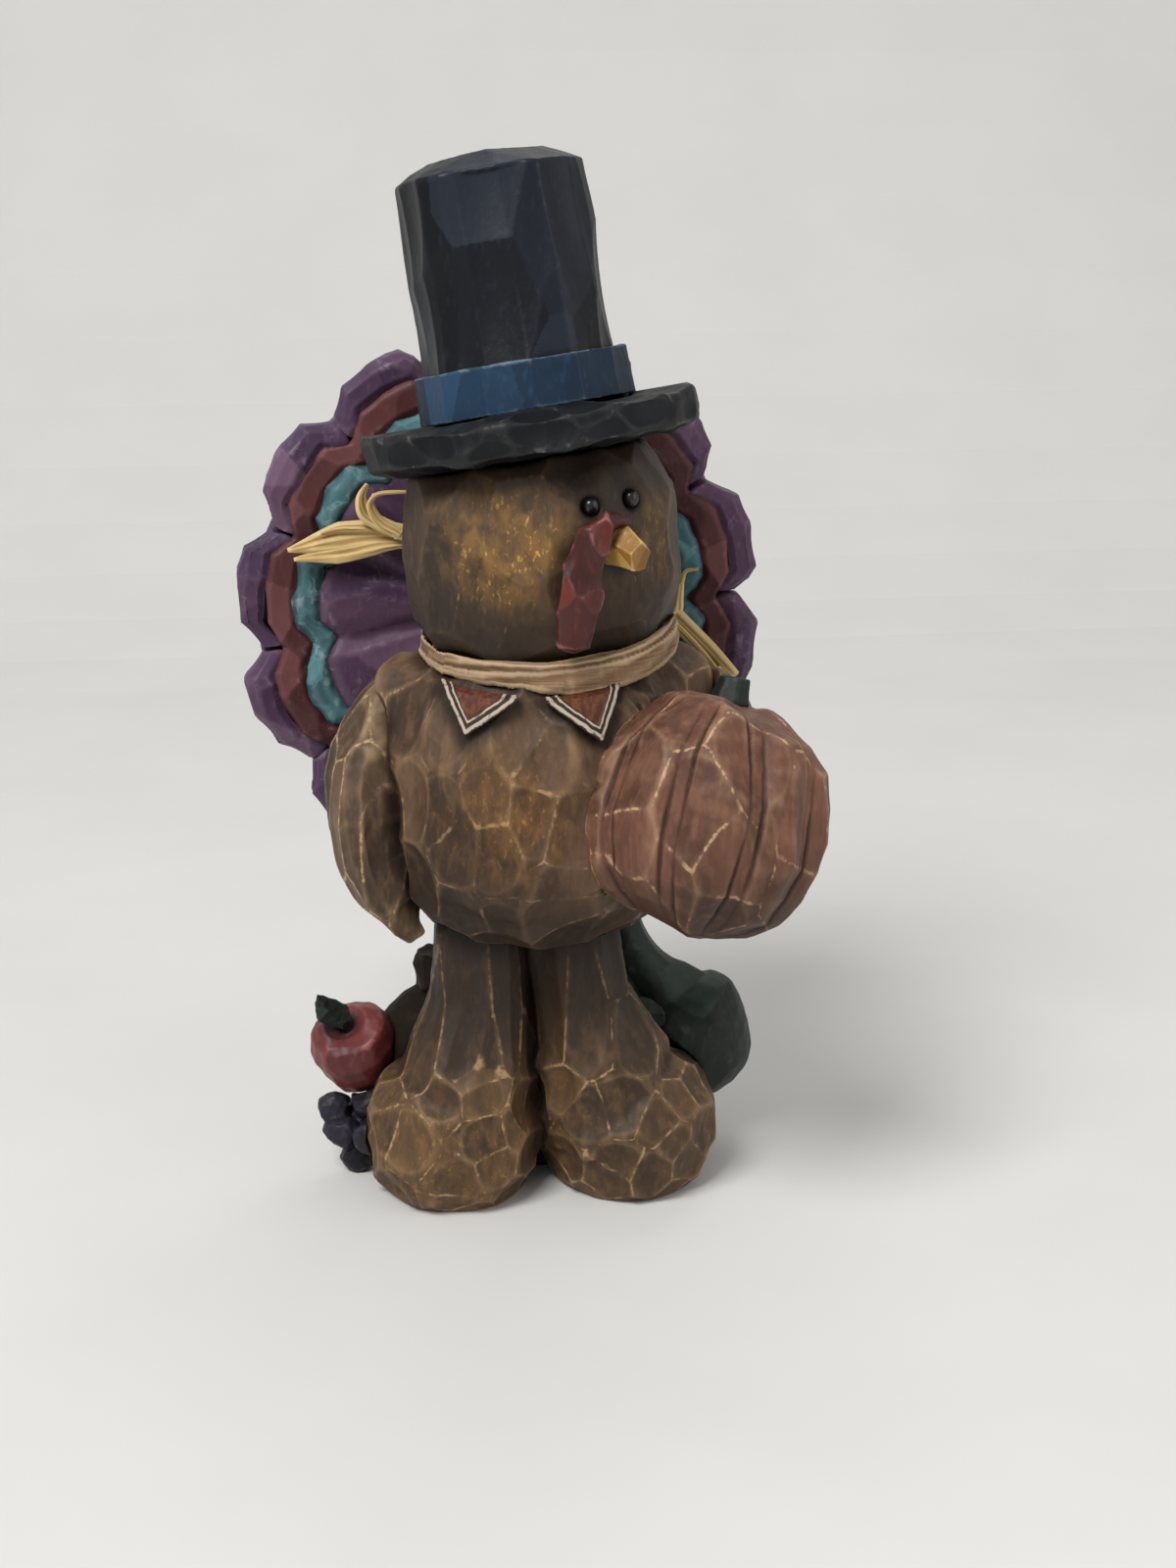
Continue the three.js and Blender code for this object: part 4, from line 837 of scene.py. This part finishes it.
def along(route, share):
    """Places on a smooth curve through the points of a route, for shares from 0 to 1."""
    spots = np.array(route, float) * MM
    spots = np.vstack([2 * spots[0] - spots[1], spots, 2 * spots[-1] - spots[-2]])
    place = share * (len(route) - 1)
    i = np.minimum(place.astype(int), len(route) - 2)
    t = (place - i)[:, None]
    a, b, c, d = (spots[i + k] for k in range(4))
    return b + t / 2 * (c - a + t * (2 * a - 5 * b + 4 * c - d + t * (3 * b - a - 3 * c + d)))


def frame_along(route, share):
    """Places along a route, and the sideways direction at each, square to it and to the front."""
    ahead = along(route, np.minimum(share + AHEAD, 1)) - along(route, np.maximum(share - AHEAD, 0))
    side = np.cross(ahead, FORWARD)
    return along(route, share), side / np.linalg.norm(side, axis=1)[:, None]


put_down()
bpy.ops.mesh.primitive_uv_sphere_add(segments=24, ring_count=40, radius=1)
snood = bpy.context.object
snood.name = "carved_snood"
at, _ = skin_of(snood)
share = np.arccos(np.clip(at[:, 2], -1, 1)) / math.pi
middle, side = frame_along(SNOOD_ROUTE, share)
around = np.arctan2(at[:, 1], at[:, 0])
half = np.interp(share, np.linspace(0, 1, len(SNOOD_WIDTHS)), SNOOD_WIDTHS) / 2 * MM
half = half * np.minimum(1, np.sin(share * math.pi) * SNOOD_BLUNT)
thick = np.minimum(SNOOD_THICK / 2 * MM, half)
middle = middle + side * (half * np.cos(around))[:, None]
move_skin(snood, middle + FORWARD * (thick * np.sin(around))[:, None])
mend(snood, bpy.ops.mesh.normals_make_consistent, inside=False)
clay(snood, 0.26, 2)
carve(snood, 4.2, 0.95, upright(0.6), seed=43, tilt=1.0)
dress(snood, "snood", SNOOD, ["head", "beak", "neck_tie"], 1.6)

# %% [markdown]
# ## Beak
# The beak is a short stub: its end is cut off flat, which leaves the bright facet at the
# front. A pointed cone would be the quick way, but the flat end is what one sees, so a blunt
# cone with five sides is laid from the face to the end, stretched upright and lightly cut.

# %% Beak
BEAK = painted(
    "beak yellow", "a97f3a", "6f441b", "deb968", "f0d494", 0.8, 0.4, 4, fixed=SATIN, seam=0.6
)
BEAK_ROOT = Vector((14.9, -19.2, 139.0)) * MM
BEAK_END = Vector((18.9, -26.8, 137.4)) * MM
BEAK_TALL = 1.22
BEAK_WIDE = 4.3 * MM
BEAK_TIP = 2.5 * MM
beak_way = BEAK_END - BEAK_ROOT
put_down()
bpy.ops.mesh.primitive_cone_add(
    vertices=5, radius1=BEAK_WIDE, radius2=BEAK_TIP, depth=beak_way.length
)
beak = bpy.context.object
beak.name = "carved_beak"
beak.rotation_euler = beak_way.to_track_quat("Z", "Y").to_euler()
beak.location = (BEAK_ROOT + BEAK_END) / 2
bpy.ops.object.transform_apply(location=True, rotation=True)
at, _ = skin_of(beak)
centre = at.mean(0)
move_skin(beak, centre + (at - centre) * (1, 1, BEAK_TALL))
clay(beak, 0.2, 5)
carve(beak, 5.0, 0.25, seed=46, tilt=0.4)
dress(beak, "beak", BEAK, ["head", "snood"], 1.0)

# %% [markdown]
# ## Hat
# The crown is cut with long strokes from top to band, the brim is a thick disc with a rough
# edge, and the band is a ring of flats. A cylinder with random facets would lose the lean and
# the bulge of the crown, so the three skins are carved like the rest. Black paint shows form
# only through its sheen, so each cut has its own grey.

# %% Hat
HAT = painted("hat black", "10141d", "06080c", "272e3a", "343b46", 0.15, 0.34, 10, fixed=SLEEK)
BRIM = painted("brim black", "0f1218", "06070a", "1b2029", "6b6a66", 0.12, 0.42, 7)
HAT_GRAIN = 0.45


def off_the_top(at, out):
    """Cuts the flat top less deeply than the sides."""
    return 1 - 0.7 * ease(out[:, 2], 0.5, 0.9)


crown = casting("hat_crown", "hat_crown_skin", HAT_GRAIN, 5)
carve(crown, 10.5, 1.3, upright(0.45), off_the_top, seed=57, lift=0.75)
dress(crown, "hat_crown", HAT, ["hat_band"], 1.6)
brim = casting("hat_brim", "hat_brim_skin", HAT_GRAIN, 6)
carve(brim, 8.0, 0.9, upright(1.3), seed=52)
dress(brim, "hat_brim", BRIM, ["hat_band", "head"], 1.5)

BAND = painted("band blue", "173149", "0d1f31", "315270", "7f919f", 0.5, 0.4, 6, fixed=SLEEK)
band = casting("hat_band", "hat_band_skin", 0.28, 2)
carve(band, 9.0, 0.25, upright(0.5), seed=53)
dress(band, "hat_band", BAND, ["hat_brim"], 0.9)

# %% [markdown]
# ## Raffia
# Raffia is a dried palm leaf, creased along its length. Its fibres run along the strip round
# every bend, and noise in the space of the room would cut across them. So each point of a strip
# keeps how far along and how far aside it lies, and the fibres are drawn in those two.

# %% Raffia paint
FIBRE_LONG = 0.05
DEEP_SHADE = "4a3520"
CREASE_SHADE = "3d2b1a"


def raffia_paint(name, dark, base, light):
    """Fibres along the strip, a painted highlight on folds and painted shade in creases."""
    recipe = Recipe(name, dark)
    proud, crease, course, aside = map(recipe.attribute, ("proud", "crease", "course", "aside"))
    leaf = recipe.start.node("ShaderNodeCombineXYZ", {}, {"X": course * FIBRE_LONG, "Y": aside})
    weave = {"Vector": leaf, "Scale": 2.2, "Detail": 4.0}
    fibre = recipe.start.node("ShaderNodeTexNoise", {}, weave)
    cloud = recipe.noise(5, detail=4)
    recipe.coat(fibre.step(0.25, 0.6), base)
    recipe.coat(cloud.step(0.5, 0.7) * 0.45, dark)
    # Painted highlight on the folds, painted shade in the hollows and creases.
    recipe.coat(proud.step(0.0, 0.1) * 0.7, light)
    recipe.coat((0 - proud).step(0.0, 0.12) * 0.6, DEEP_SHADE)
    recipe.coat((1 - crease) * 0.85, CREASE_SHADE)
    return recipe.finish(cloud * 0.1 + 0.6, fibre, depth=0.12, fixed=MATT)


TIED = raffia_paint("raffia tie", "71563d", "997b5d", "c8ae8c")
LOOSE = raffia_paint("raffia ends", "94713f", "c4a163", "ecd49b")
print("Raffia paints:", TIED.name, "and", LOOSE.name)

# %% [markdown]
# ## Tie and knot
# The tie is a strip folded over once and drawn tight round the neck, so one long fold wanders
# round it and small puckers stand off it. Cloth simulation could pleat it, but not the same
# way twice. Here the skin is lifted by a few waves that run round the neck.

# %% Tie and knot
TURNS = 120
RAFFIA_GRAIN = 0.3
FOLD_LEVEL = 0.52
FOLD_SWAY = 0.3
FOLD_WOBBLE = 0.06
FOLD_STEP = 0.6 * MM
PUCKER = 0.22 * MM
TIE_SEED = 66
NECK_REACH = 25


def wrap(piece, seed):
    """Gives a ring of raffia one long fold and some puckers."""
    at, out = skin_of(piece)
    middle = (at.min(0) + at.max(0)) / 2
    turn = np.arctan2(*(at - middle)[:, :2].T)
    part = ((turn / math.pi + 1) / 2 * TURNS).astype(int) % TURNS
    low, high = np.full(TURNS, FAR_OFF), np.full(TURNS, -FAR_OFF)
    np.minimum.at(low, part, at[:, 2])
    np.maximum.at(high, part, at[:, 2])
    share = (at[:, 2] - low[part]) / (high - low)[part]
    draw = np.random.default_rng(seed)
    phase = draw.uniform(0, 6, 3)
    fold = FOLD_LEVEL + FOLD_SWAY * np.sin(turn + phase[0])
    fold += FOLD_WOBBLE * np.sin(3 * turn + phase[1])
    lift = FOLD_STEP * ease(share, fold + 0.06, fold - 0.02) * draw.choice((-1, 1))
    lift += PUCKER * np.sin(turn * 9 + share * 4 + seed) * np.sin(share * 7)
    # A dark band along the fold is painted shade, kept for the paint as the crease note.
    dark = np.exp(-(((share - fold - 0.03) / 0.05) ** 2))
    move_skin(piece, at + out * lift[:, None])
    note(piece, "crease", 1 - 0.8 * dark * ease(np.sin(2 * turn + phase[2]), -0.6, 0.5))
    note(piece, "course", turn * NECK_REACH)
    note(piece, "aside", at[:, 2] / MM)


for node in ("neck_tie", "raffia_knot"):
    strip = casting(node, f"{node}_strip", RAFFIA_GRAIN, 4)
    wrap(strip, TIE_SEED)
    dress(strip, node, TIED, rounds=6)

# %% [markdown]
# ## Loose ends of the raffia
# Behind the head the ends are free: they split, curl and narrow to a point. A bent tube would
# look like wire. Each end is a few strips, and each strip is a flat grid that is laid along a
# route, folded along its length and then given a thickness.

# %% Strips along a route
STRIP_LONG = 60
STRIP_WIDE = 16
STRIP_THICK = 0.28
STRIP_SWAY = 0.25 * MM
FULL_WIDTH = 3.5 * MM


def strip_of(route, widths, seed):
    """One creased strip of raffia: a grid laid along a route, then given its thickness."""
    put_down()
    bpy.ops.mesh.primitive_grid_add(x_subdivisions=STRIP_LONG, y_subdivisions=STRIP_WIDE, size=2)
    strip = bpy.context.object
    at, _ = skin_of(strip)
    share, across = (at[:, 0] + 1) / 2, at[:, 1]
    draw = np.random.default_rng(seed)
    width = np.interp(share, np.linspace(0, 1, len(widths)), widths) * MM
    phase = draw.uniform(0, 6, 3)
    fold = np.abs(across - 0.5 * np.sin(phase[0] + share * 2))
    fold += 0.12 * np.sin(across * 9 + phase[1])
    sway = np.sin(share * 7 + phase[2]) * STRIP_SWAY
    middle, side = frame_along(route, share)
    place = middle + side * (across * width / 2 + sway)[:, None]
    place += FORWARD * ((0.7 - fold) * np.minimum(width, FULL_WIDTH) * 0.3)[:, None]
    move_skin(strip, place)
    note(strip, "course", share * np.linalg.norm(np.subtract(route[0], route[-1])))
    note(strip, "aside", across * width / 2 / MM + seed)
    note(strip, "crease", np.ones(len(at)))
    shape(strip, "SOLIDIFY", thickness=STRIP_THICK * MM, offset=0)
    mend(strip, bpy.ops.mesh.normals_make_consistent, inside=False)
    return strip


# The strips of each loose end, as routes in millimetres with the widths along them.
LOOSE_ENDS = {
    "raffia_tail_right": (
        (((3, 33.9, 120.4), (-9.5, 34, 127.4), (-23, 34, 131.4), (-34, 33.8, 131.4),
          (-44.9, 33.6, 129.3)), (3, 3.8, 5.0, 6.6, 0.7)),
        (((-20, 33.3, 129.6), (-27, 33.0, 129.6), (-35, 32.9, 128.2), (-43.6, 33.2, 127.0)),
         (1.0, 3.2, 3.6, 0.6)),
        (((-24, 33.1, 132.2), (-30, 32.9, 133.3), (-34, 32.9, 133.6), (-38, 33.1, 132.2)),
         (0.6, 2.0, 1.8, 0.4)),
    ),
    "raffia_curl_right": (
        (((3, 32.2, 122.6), (-11, 32.2, 128.9), (-22, 32.1, 132.4), (-28.4, 31.6, 136),
          (-29.4, 31.2, 139.6), (-28.2, 31, 142.9)), (2, 2.4, 2.8, 3, 2.2, 0.5)),
        (((-22, 31.8, 131.9), (-25.4, 31.4, 134.6), (-27.6, 31, 138.4), (-27.2, 30.8, 141)),
         (2.4, 2.2, 1.6, 0.5)),
        (((-28, 30.8, 139.4), (-26.6, 30.6, 140.8), (-23, 30.4, 141), (-18.8, 30.2, 141.5)),
         (0.9, 0.8, 0.7, 0.5)),
    ),
    "raffia_tail_left": (
        (((8.7, 33.8, 119.6), (20.8, 33.8, 121.6), (30, 32.8, 119.4), (36.2, 31.6, 112.8),
          (42.6, 30.3, 106), (47.8, 28.4, 100.3)), (3, 3.4, 3.8, 4.2, 3.8, 3.0)),
        (((30, 32.2, 118.2), (35.2, 31, 111.8), (41.6, 29.8, 105), (46.6, 28, 99.8)),
         (1, 1.6, 1.6, 0.8)),
    ),
    "raffia_sprig_left": (
        (((8.2, 31.9, 121.4), (20.8, 31.9, 121.9), (31, 31.4, 116.4), (35.4, 31, 114.4),
          (36.3, 31, 118), (37.1, 30.8, 122.6)), (1.6, 2.2, 2.6, 3.0, 2.8, 1.4)),
        (((36.6, 30.6, 120.6), (37.4, 30.5, 122), (38.3, 30.5, 123.2), (40.3, 30.6, 123.8)),
         (1, 0.9, 0.7, 0.4)),
    ),
}
STRIP_SEED = 62
STRIP_CORNER = math.radians(50)
for node, strips in LOOSE_ENDS.items():
    made = [strip_of(*strip, STRIP_SEED + i) for i, strip in enumerate(strips)]
    put_down()
    for strip in made:
        strip.select_set(True)
    bpy.context.view_layer.objects.active = made[0]
    bpy.ops.object.join()
    end = bpy.context.object
    end.name = f"{node}_strips"
    bpy.ops.object.shade_smooth_by_angle(angle=STRIP_CORNER)
    dress(end, node, LOOSE, rounds=4)

# %% [markdown]
# ## Collar
# Two rust-coloured flaps with a double white line along their free edges. The lines could be
# thin raised strips, but on the real figure they are only paint. The free edges are the two
# flat cuts that face down, so the distance to those two planes tells the paint where they run.

# %% Collar
HEM_REACH = 9.0
GROWN = (1.02, 1, 1.1)
TUCKS = {"collar_right": (0.3, 0, 1.1), "collar_left": (0.7, 0, 0.1)}
HEM_RISE = 0.3 * MM


def collar_paint():
    """Rust cloth with two white lines a little way in from the hem."""
    recipe = Recipe("collar rust", "4a281b")
    hem, nook = recipe.attribute("hem"), recipe.attribute("nook")
    brush = recipe.noise(1.0, (1, 1, 0.5), detail=5)
    wobble = recipe.noise(2.0, detail=3) * 0.5 - 0.25
    line = hem + wobble
    recipe.coat(brush.step(0.35, 0.7), "70412b")
    recipe.coat(1 - line.step(1.65, 1.85), "33241d")
    outer = line.step(0.1, 0.22) * (1 - line.step(0.55, 0.7))
    white = outer + line.step(1.15, 1.25) * (1 - line.step(1.45, 1.6))
    recipe.coat(white * brush.step(0.25, 0.45), "b8ab99")
    # Dark where neighbours are near: partly wash, partly painted shade between the pieces.
    recipe.coat(nook * 0.5, WASH_AND_SEAM_SHADE)
    return recipe.finish(brush * 0.1 + 0.5, brush + white * 0.6, depth=0.12, fixed=MATT)


COLLAR = collar_paint()


def hem_planes(node):
    """The flat cuts of a flap that face down: one place and one direction for each."""
    planes = {}
    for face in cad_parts[node].data.polygons:
        if abs(face.normal.y) < 0.02 and face.normal.z < -0.2:
            planes[round(face.normal.x, 1)] = (np.array(face.center), np.array(face.normal))
    return planes.values()


for node, tuck in TUCKS.items():
    flap = casting(node, f"{node}_flap", 0.22, 2)
    at, out = skin_of(flap)
    hem = np.full(len(at), HEM_REACH * MM)
    for place, facing in hem_planes(node):
        hem = np.minimum(hem, np.abs((at - place) @ facing))
    note(flap, "hem", hem / MM)
    at = at + out * (HEM_RISE * ease(hem, 2.0 * MM, 1.5 * MM))[:, None]
    point = at[np.argmin(at[:, 2])]
    move_skin(flap, point + np.array(tuck) * MM + (at - point) * GROWN)
    dress(flap, node, COLLAR, ["neck_tie", "pumpkin"], 2.0)

# %% [markdown]
# ## Pumpkin
# Broad upright scoops between nine ribs. Along each rib the knife made two thin cuts side by
# side. Cutting them with booleans would leave torn faces, so the skin is lowered where a point
# lies the right way aside of its rib. The ridges are dry-brushed with tan.

# %% Pumpkin
PUMPKIN_LEAN = math.radians(13)
RIBS = 9
CUT_APART = 1.3 * MM
CUT_WIDE = 0.36 * MM
CUT_DEEP = 0.8 * MM


def pumpkin_painted_shade(recipe):
    """Painted shade underneath and on the side away from the light."""
    return 1 - recipe.above(66, 88) + recipe.near((60, -16, 84), 6, 20) * 0.6


PUMPKIN = carved(
    "pumpkin brown", "734c3b", "472e24", "8d6450", "cfa983", None, pumpkin_painted_shade, worn=0.62
)
pumpkin = casting("pumpkin", "carved_pumpkin", BODY_GRAIN, 10)
carve(pumpkin, 9.6, 1.3, upright(0.62), seed=86, tilt=0.6)
middle, top = (sum(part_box(node), Vector()) / 2 for node in ("pumpkin", "pumpkin_stem"))
stalk_way = np.array((top - middle).normalized())
start_way = np.array((math.cos(PUMPKIN_LEAN), 0, -math.sin(PUMPKIN_LEAN)))
start_way -= stalk_way * (start_way @ stalk_way)
start_way /= np.linalg.norm(start_way)
at, out = skin_of(pumpkin)
spoke = at - np.array(middle)
spoke -= np.outer(spoke @ stalk_way, stalk_way)
girth = np.linalg.norm(spoke, axis=1)
angle = np.arctan2(spoke @ np.cross(stalk_way, start_way), spoke @ start_way)
rib = (angle * RIBS / (2 * math.pi) + 0.5) % 1 - 0.5
aside = np.abs(rib) * girth * 2 * math.pi / RIBS
number = np.round(angle * RIBS / (2 * math.pi))
uneven = 0.62 + 0.38 * np.sin(at[:, 2] * 190 + number * 2.3 + np.sign(rib) * 1.7)
cut = np.exp(-(((aside - CUT_APART) / CUT_WIDE) ** 2)) * ease(girth, 8 * MM, 16 * MM) * uneven
move_skin(pumpkin, at - out * (cut * CUT_DEEP)[:, None])
print("Rib cuts, deepest in mm:", round(cut.max() * CUT_DEEP / MM, 2))
press(pumpkin, ["body"], reach=4.5, push=2.6)
dress(pumpkin, "pumpkin", PUMPKIN, ["wing_left", "collar_left"], 4.0)

# %% [markdown]
# ## Pumpkin stem
# A short dark green stump with upright cuts. A new cylinder would have to be fitted to the
# hollow on top of the pumpkin, so this one starts from its CAD piece and is pressed in a little.

# %% Pumpkin stem
GREEN = painted("leaf green", "242d27", "121714", "384740", "5a6b61", 0.25, 0.42, 7)
stem = casting("pumpkin_stem", "carved_stem", 0.25, 4)
carve(stem, 4.0, 0.5, upright(0.5), seed=82)
press(stem, ["pumpkin"], reach=1.2, push=0.7)
dress(stem, "pumpkin_stem", GREEN, ["pumpkin"], 1.2)

# %% [markdown]
# ## Tail fan
# Four rings: a purple core, a teal band, a maroon band and twelve purple tips, with large and
# shallow marks. Marks spread evenly in the room would ignore the fan, so they are spread in
# turns round the hub and steps outwards. The grooves between the rings are dark, partly as
# wash and partly as painted shade.

# %% Tail fan
FAN_SEAM = 0.35
PURPLE = painted(
    "tail purple", "60445a", "43304a", "785f74", "9a8598", 0.15, 0.42, 9, 0.22, seam=FAN_SEAM
)
MAROON = painted(
    "tail maroon", "5c3131", "412224", "764a4a", "96706d", 0.12, 0.42, 7, 0.12, seam=FAN_SEAM
)
TEAL = painted(
    "tail teal", "4a7b80", "37525a", "6f9a9e", "9db3b4", 0.25, 0.45, 4, 0.3, seam=FAN_SEAM
)
HUB = Vector((-0.32, 0, 114.5)) * MM
RING_REACH = 1.1
CORE_GRAIN = 0.55
RING_GRAIN = 0.38
TIPS = 12


def round_the_hub(around, out_share, deep_share):
    """A space in which marks follow the rings: round the hub, outwards and through."""

    def space(at):
        x, z = at[:, 0] - HUB.x, at[:, 2] - HUB.z
        columns = [np.arctan2(x, z) * around, np.hypot(x, z) * out_share, at[:, 1] * deep_share]
        return np.column_stack(columns)

    return space


def away_from_the_hub(at, out):
    """Lets the marks run out before they crowd together at the hub."""
    return ease(np.hypot(at[:, 0] - HUB.x, at[:, 2] - HUB.z), 4 * MM, 16 * MM)


print("Hub of the fan in mm:", [round(side / MM, 1) for side in HUB])

# %% Core, rings and tips
core = casting("tail_core", "tail_core_skin", CORE_GRAIN, 5)
carve(core, 9.0, 0.9, round_the_hub(0.03, 0.5, 1), away_from_the_hub, seed=91)
dress(core, "tail_core", PURPLE, ["tail_teal_band", "head", "body"], 2.5)
# Node, slot, paint, what lies beside, gap and depth of the cuts, their spread, seed and tilt.
inner, outer = ["tail_core", "tail_maroon_band"], ["tail_maroon_band"]
RINGS = [
    ("tail_teal_band", "tail_teal", TEAL, inner, 5.5, 0.7, 0.045, 92, 0.5),
    ("tail_maroon_band", "tail_maroon", MAROON, ["tail_teal_band"], 8.0, 0.6, 0.045, 93, 0.5),
]
for number in range(1, TIPS + 1):
    tip = f"tail_feather_{number:02d}"
    RINGS.append((tip, "tail_purple", PURPLE, outer, 8.0, 0.85, 0.05, 94 + number, 0.9))
for node, slot, paint, beside, gap, relief, around, seed, tilt in RINGS:
    ring = casting(node, f"{node}_skin", RING_GRAIN, 2)
    press(ring, beside, 1.6, 1.0)
    carve(ring, gap, relief, round_the_hub(around, 1, 0.6), seed=seed, tilt=tilt)
    dress(ring, node, paint, beside, RING_REACH)

# %% [markdown]
# ## Harvest
# Behind the feet lie an apple, blocky grapes, an olive gourd and a dark green squash. Each
# could have its own cell, but they differ only in paint and cuts, so one table and one loop
# make them all. The apple also gets a dimple round its stalk, and the squash a fuller neck.

# %% Harvest
APPLE = painted("apple red", "7a3230", "4c1f20", "92504c", "b0736c", 0.3, 0.4, 8, fixed=SATIN)
GRAPE = painted("grape purple", "211f2a", "121117", "35323f", "4b4757", 0.3, 0.4, 6)
DULL = {"Specular IOR Level": 0.12}
OLIVE = painted("gourd olive", "271f14", "15100a", "342b1c", "483d28", 0.2, 0.6, 8, fixed=DULL)
HUSK = painted("dark husk", "2b211a", "1a1410", "42332a", "5a4836", 0.3, 0.6, 6)
DIMPLE = np.array((-36.6, 8.8, 34.5)) * MM
DIMPLE_WIDE = 3.4 * MM
DIMPLE_DEEP = 3.4 * MM
DIMPLE_WAY = (0, 0.9, -0.4)
SQUASH_NECK = (((40, 18, 35), (3.4, 0, 3.0), 9),)
# Node, slot, paint, grain, softening rounds, gap and depth of the cuts, and what lies beside.
HARVEST = (
    ("apple", "apple_red", APPLE, 0.32, 8, 6.5, 0.55, ["gourd", "leg_right", "apple_leaf"]),
    ("apple_leaf", "leaf_green", GREEN, 0.18, 2, 3.0, 0.35, []),
    ("grapes", "grape_purple", GRAPE, 0.3, 2, 4.2, 0.7, ["leg_right", "apple"]),
    ("gourd", "gourd_olive", OLIVE, 0.45, 14, 9.0, 0.8, ["leg_right"]),
    ("gourd_stalk", "dark_husk", HUSK, 0.3, 5, 4.5, 0.6, []),
    ("squash", "leaf_green", GREEN, 0.42, 10, 11.0, 1.0, ["leg_left"]),
    ("squash_leaf", "leaf_green", GREEN, 0.18, 2, 3.0, 0.3, []),
    ("harvest_pile", "dark_husk", HUSK, 0.5, 8, 7.0, 0.9, ["leg_left", "leg_right"]),
)
for node, slot, paint, grain, rounds, gap, relief, beside in HARVEST:
    fruit = casting(node, f"carved_{node}", grain, rounds)
    if node == "squash":
        swell(fruit, SQUASH_NECK)
    carve(fruit, gap, relief, keep=off_the_ground, seed=len(node))
    if node == "apple":
        at, out = skin_of(fruit)
        apart = (at - DIMPLE) / (DIMPLE_WIDE, DIMPLE_WIDE, DIMPLE_WIDE * 1.8)
        dent = np.exp(-(apart**2).sum(1)) * DIMPLE_DEEP
        move_skin(fruit, at + np.outer(dent, DIMPLE_WAY))
    dress(fruit, node, paint, beside, 3.0)
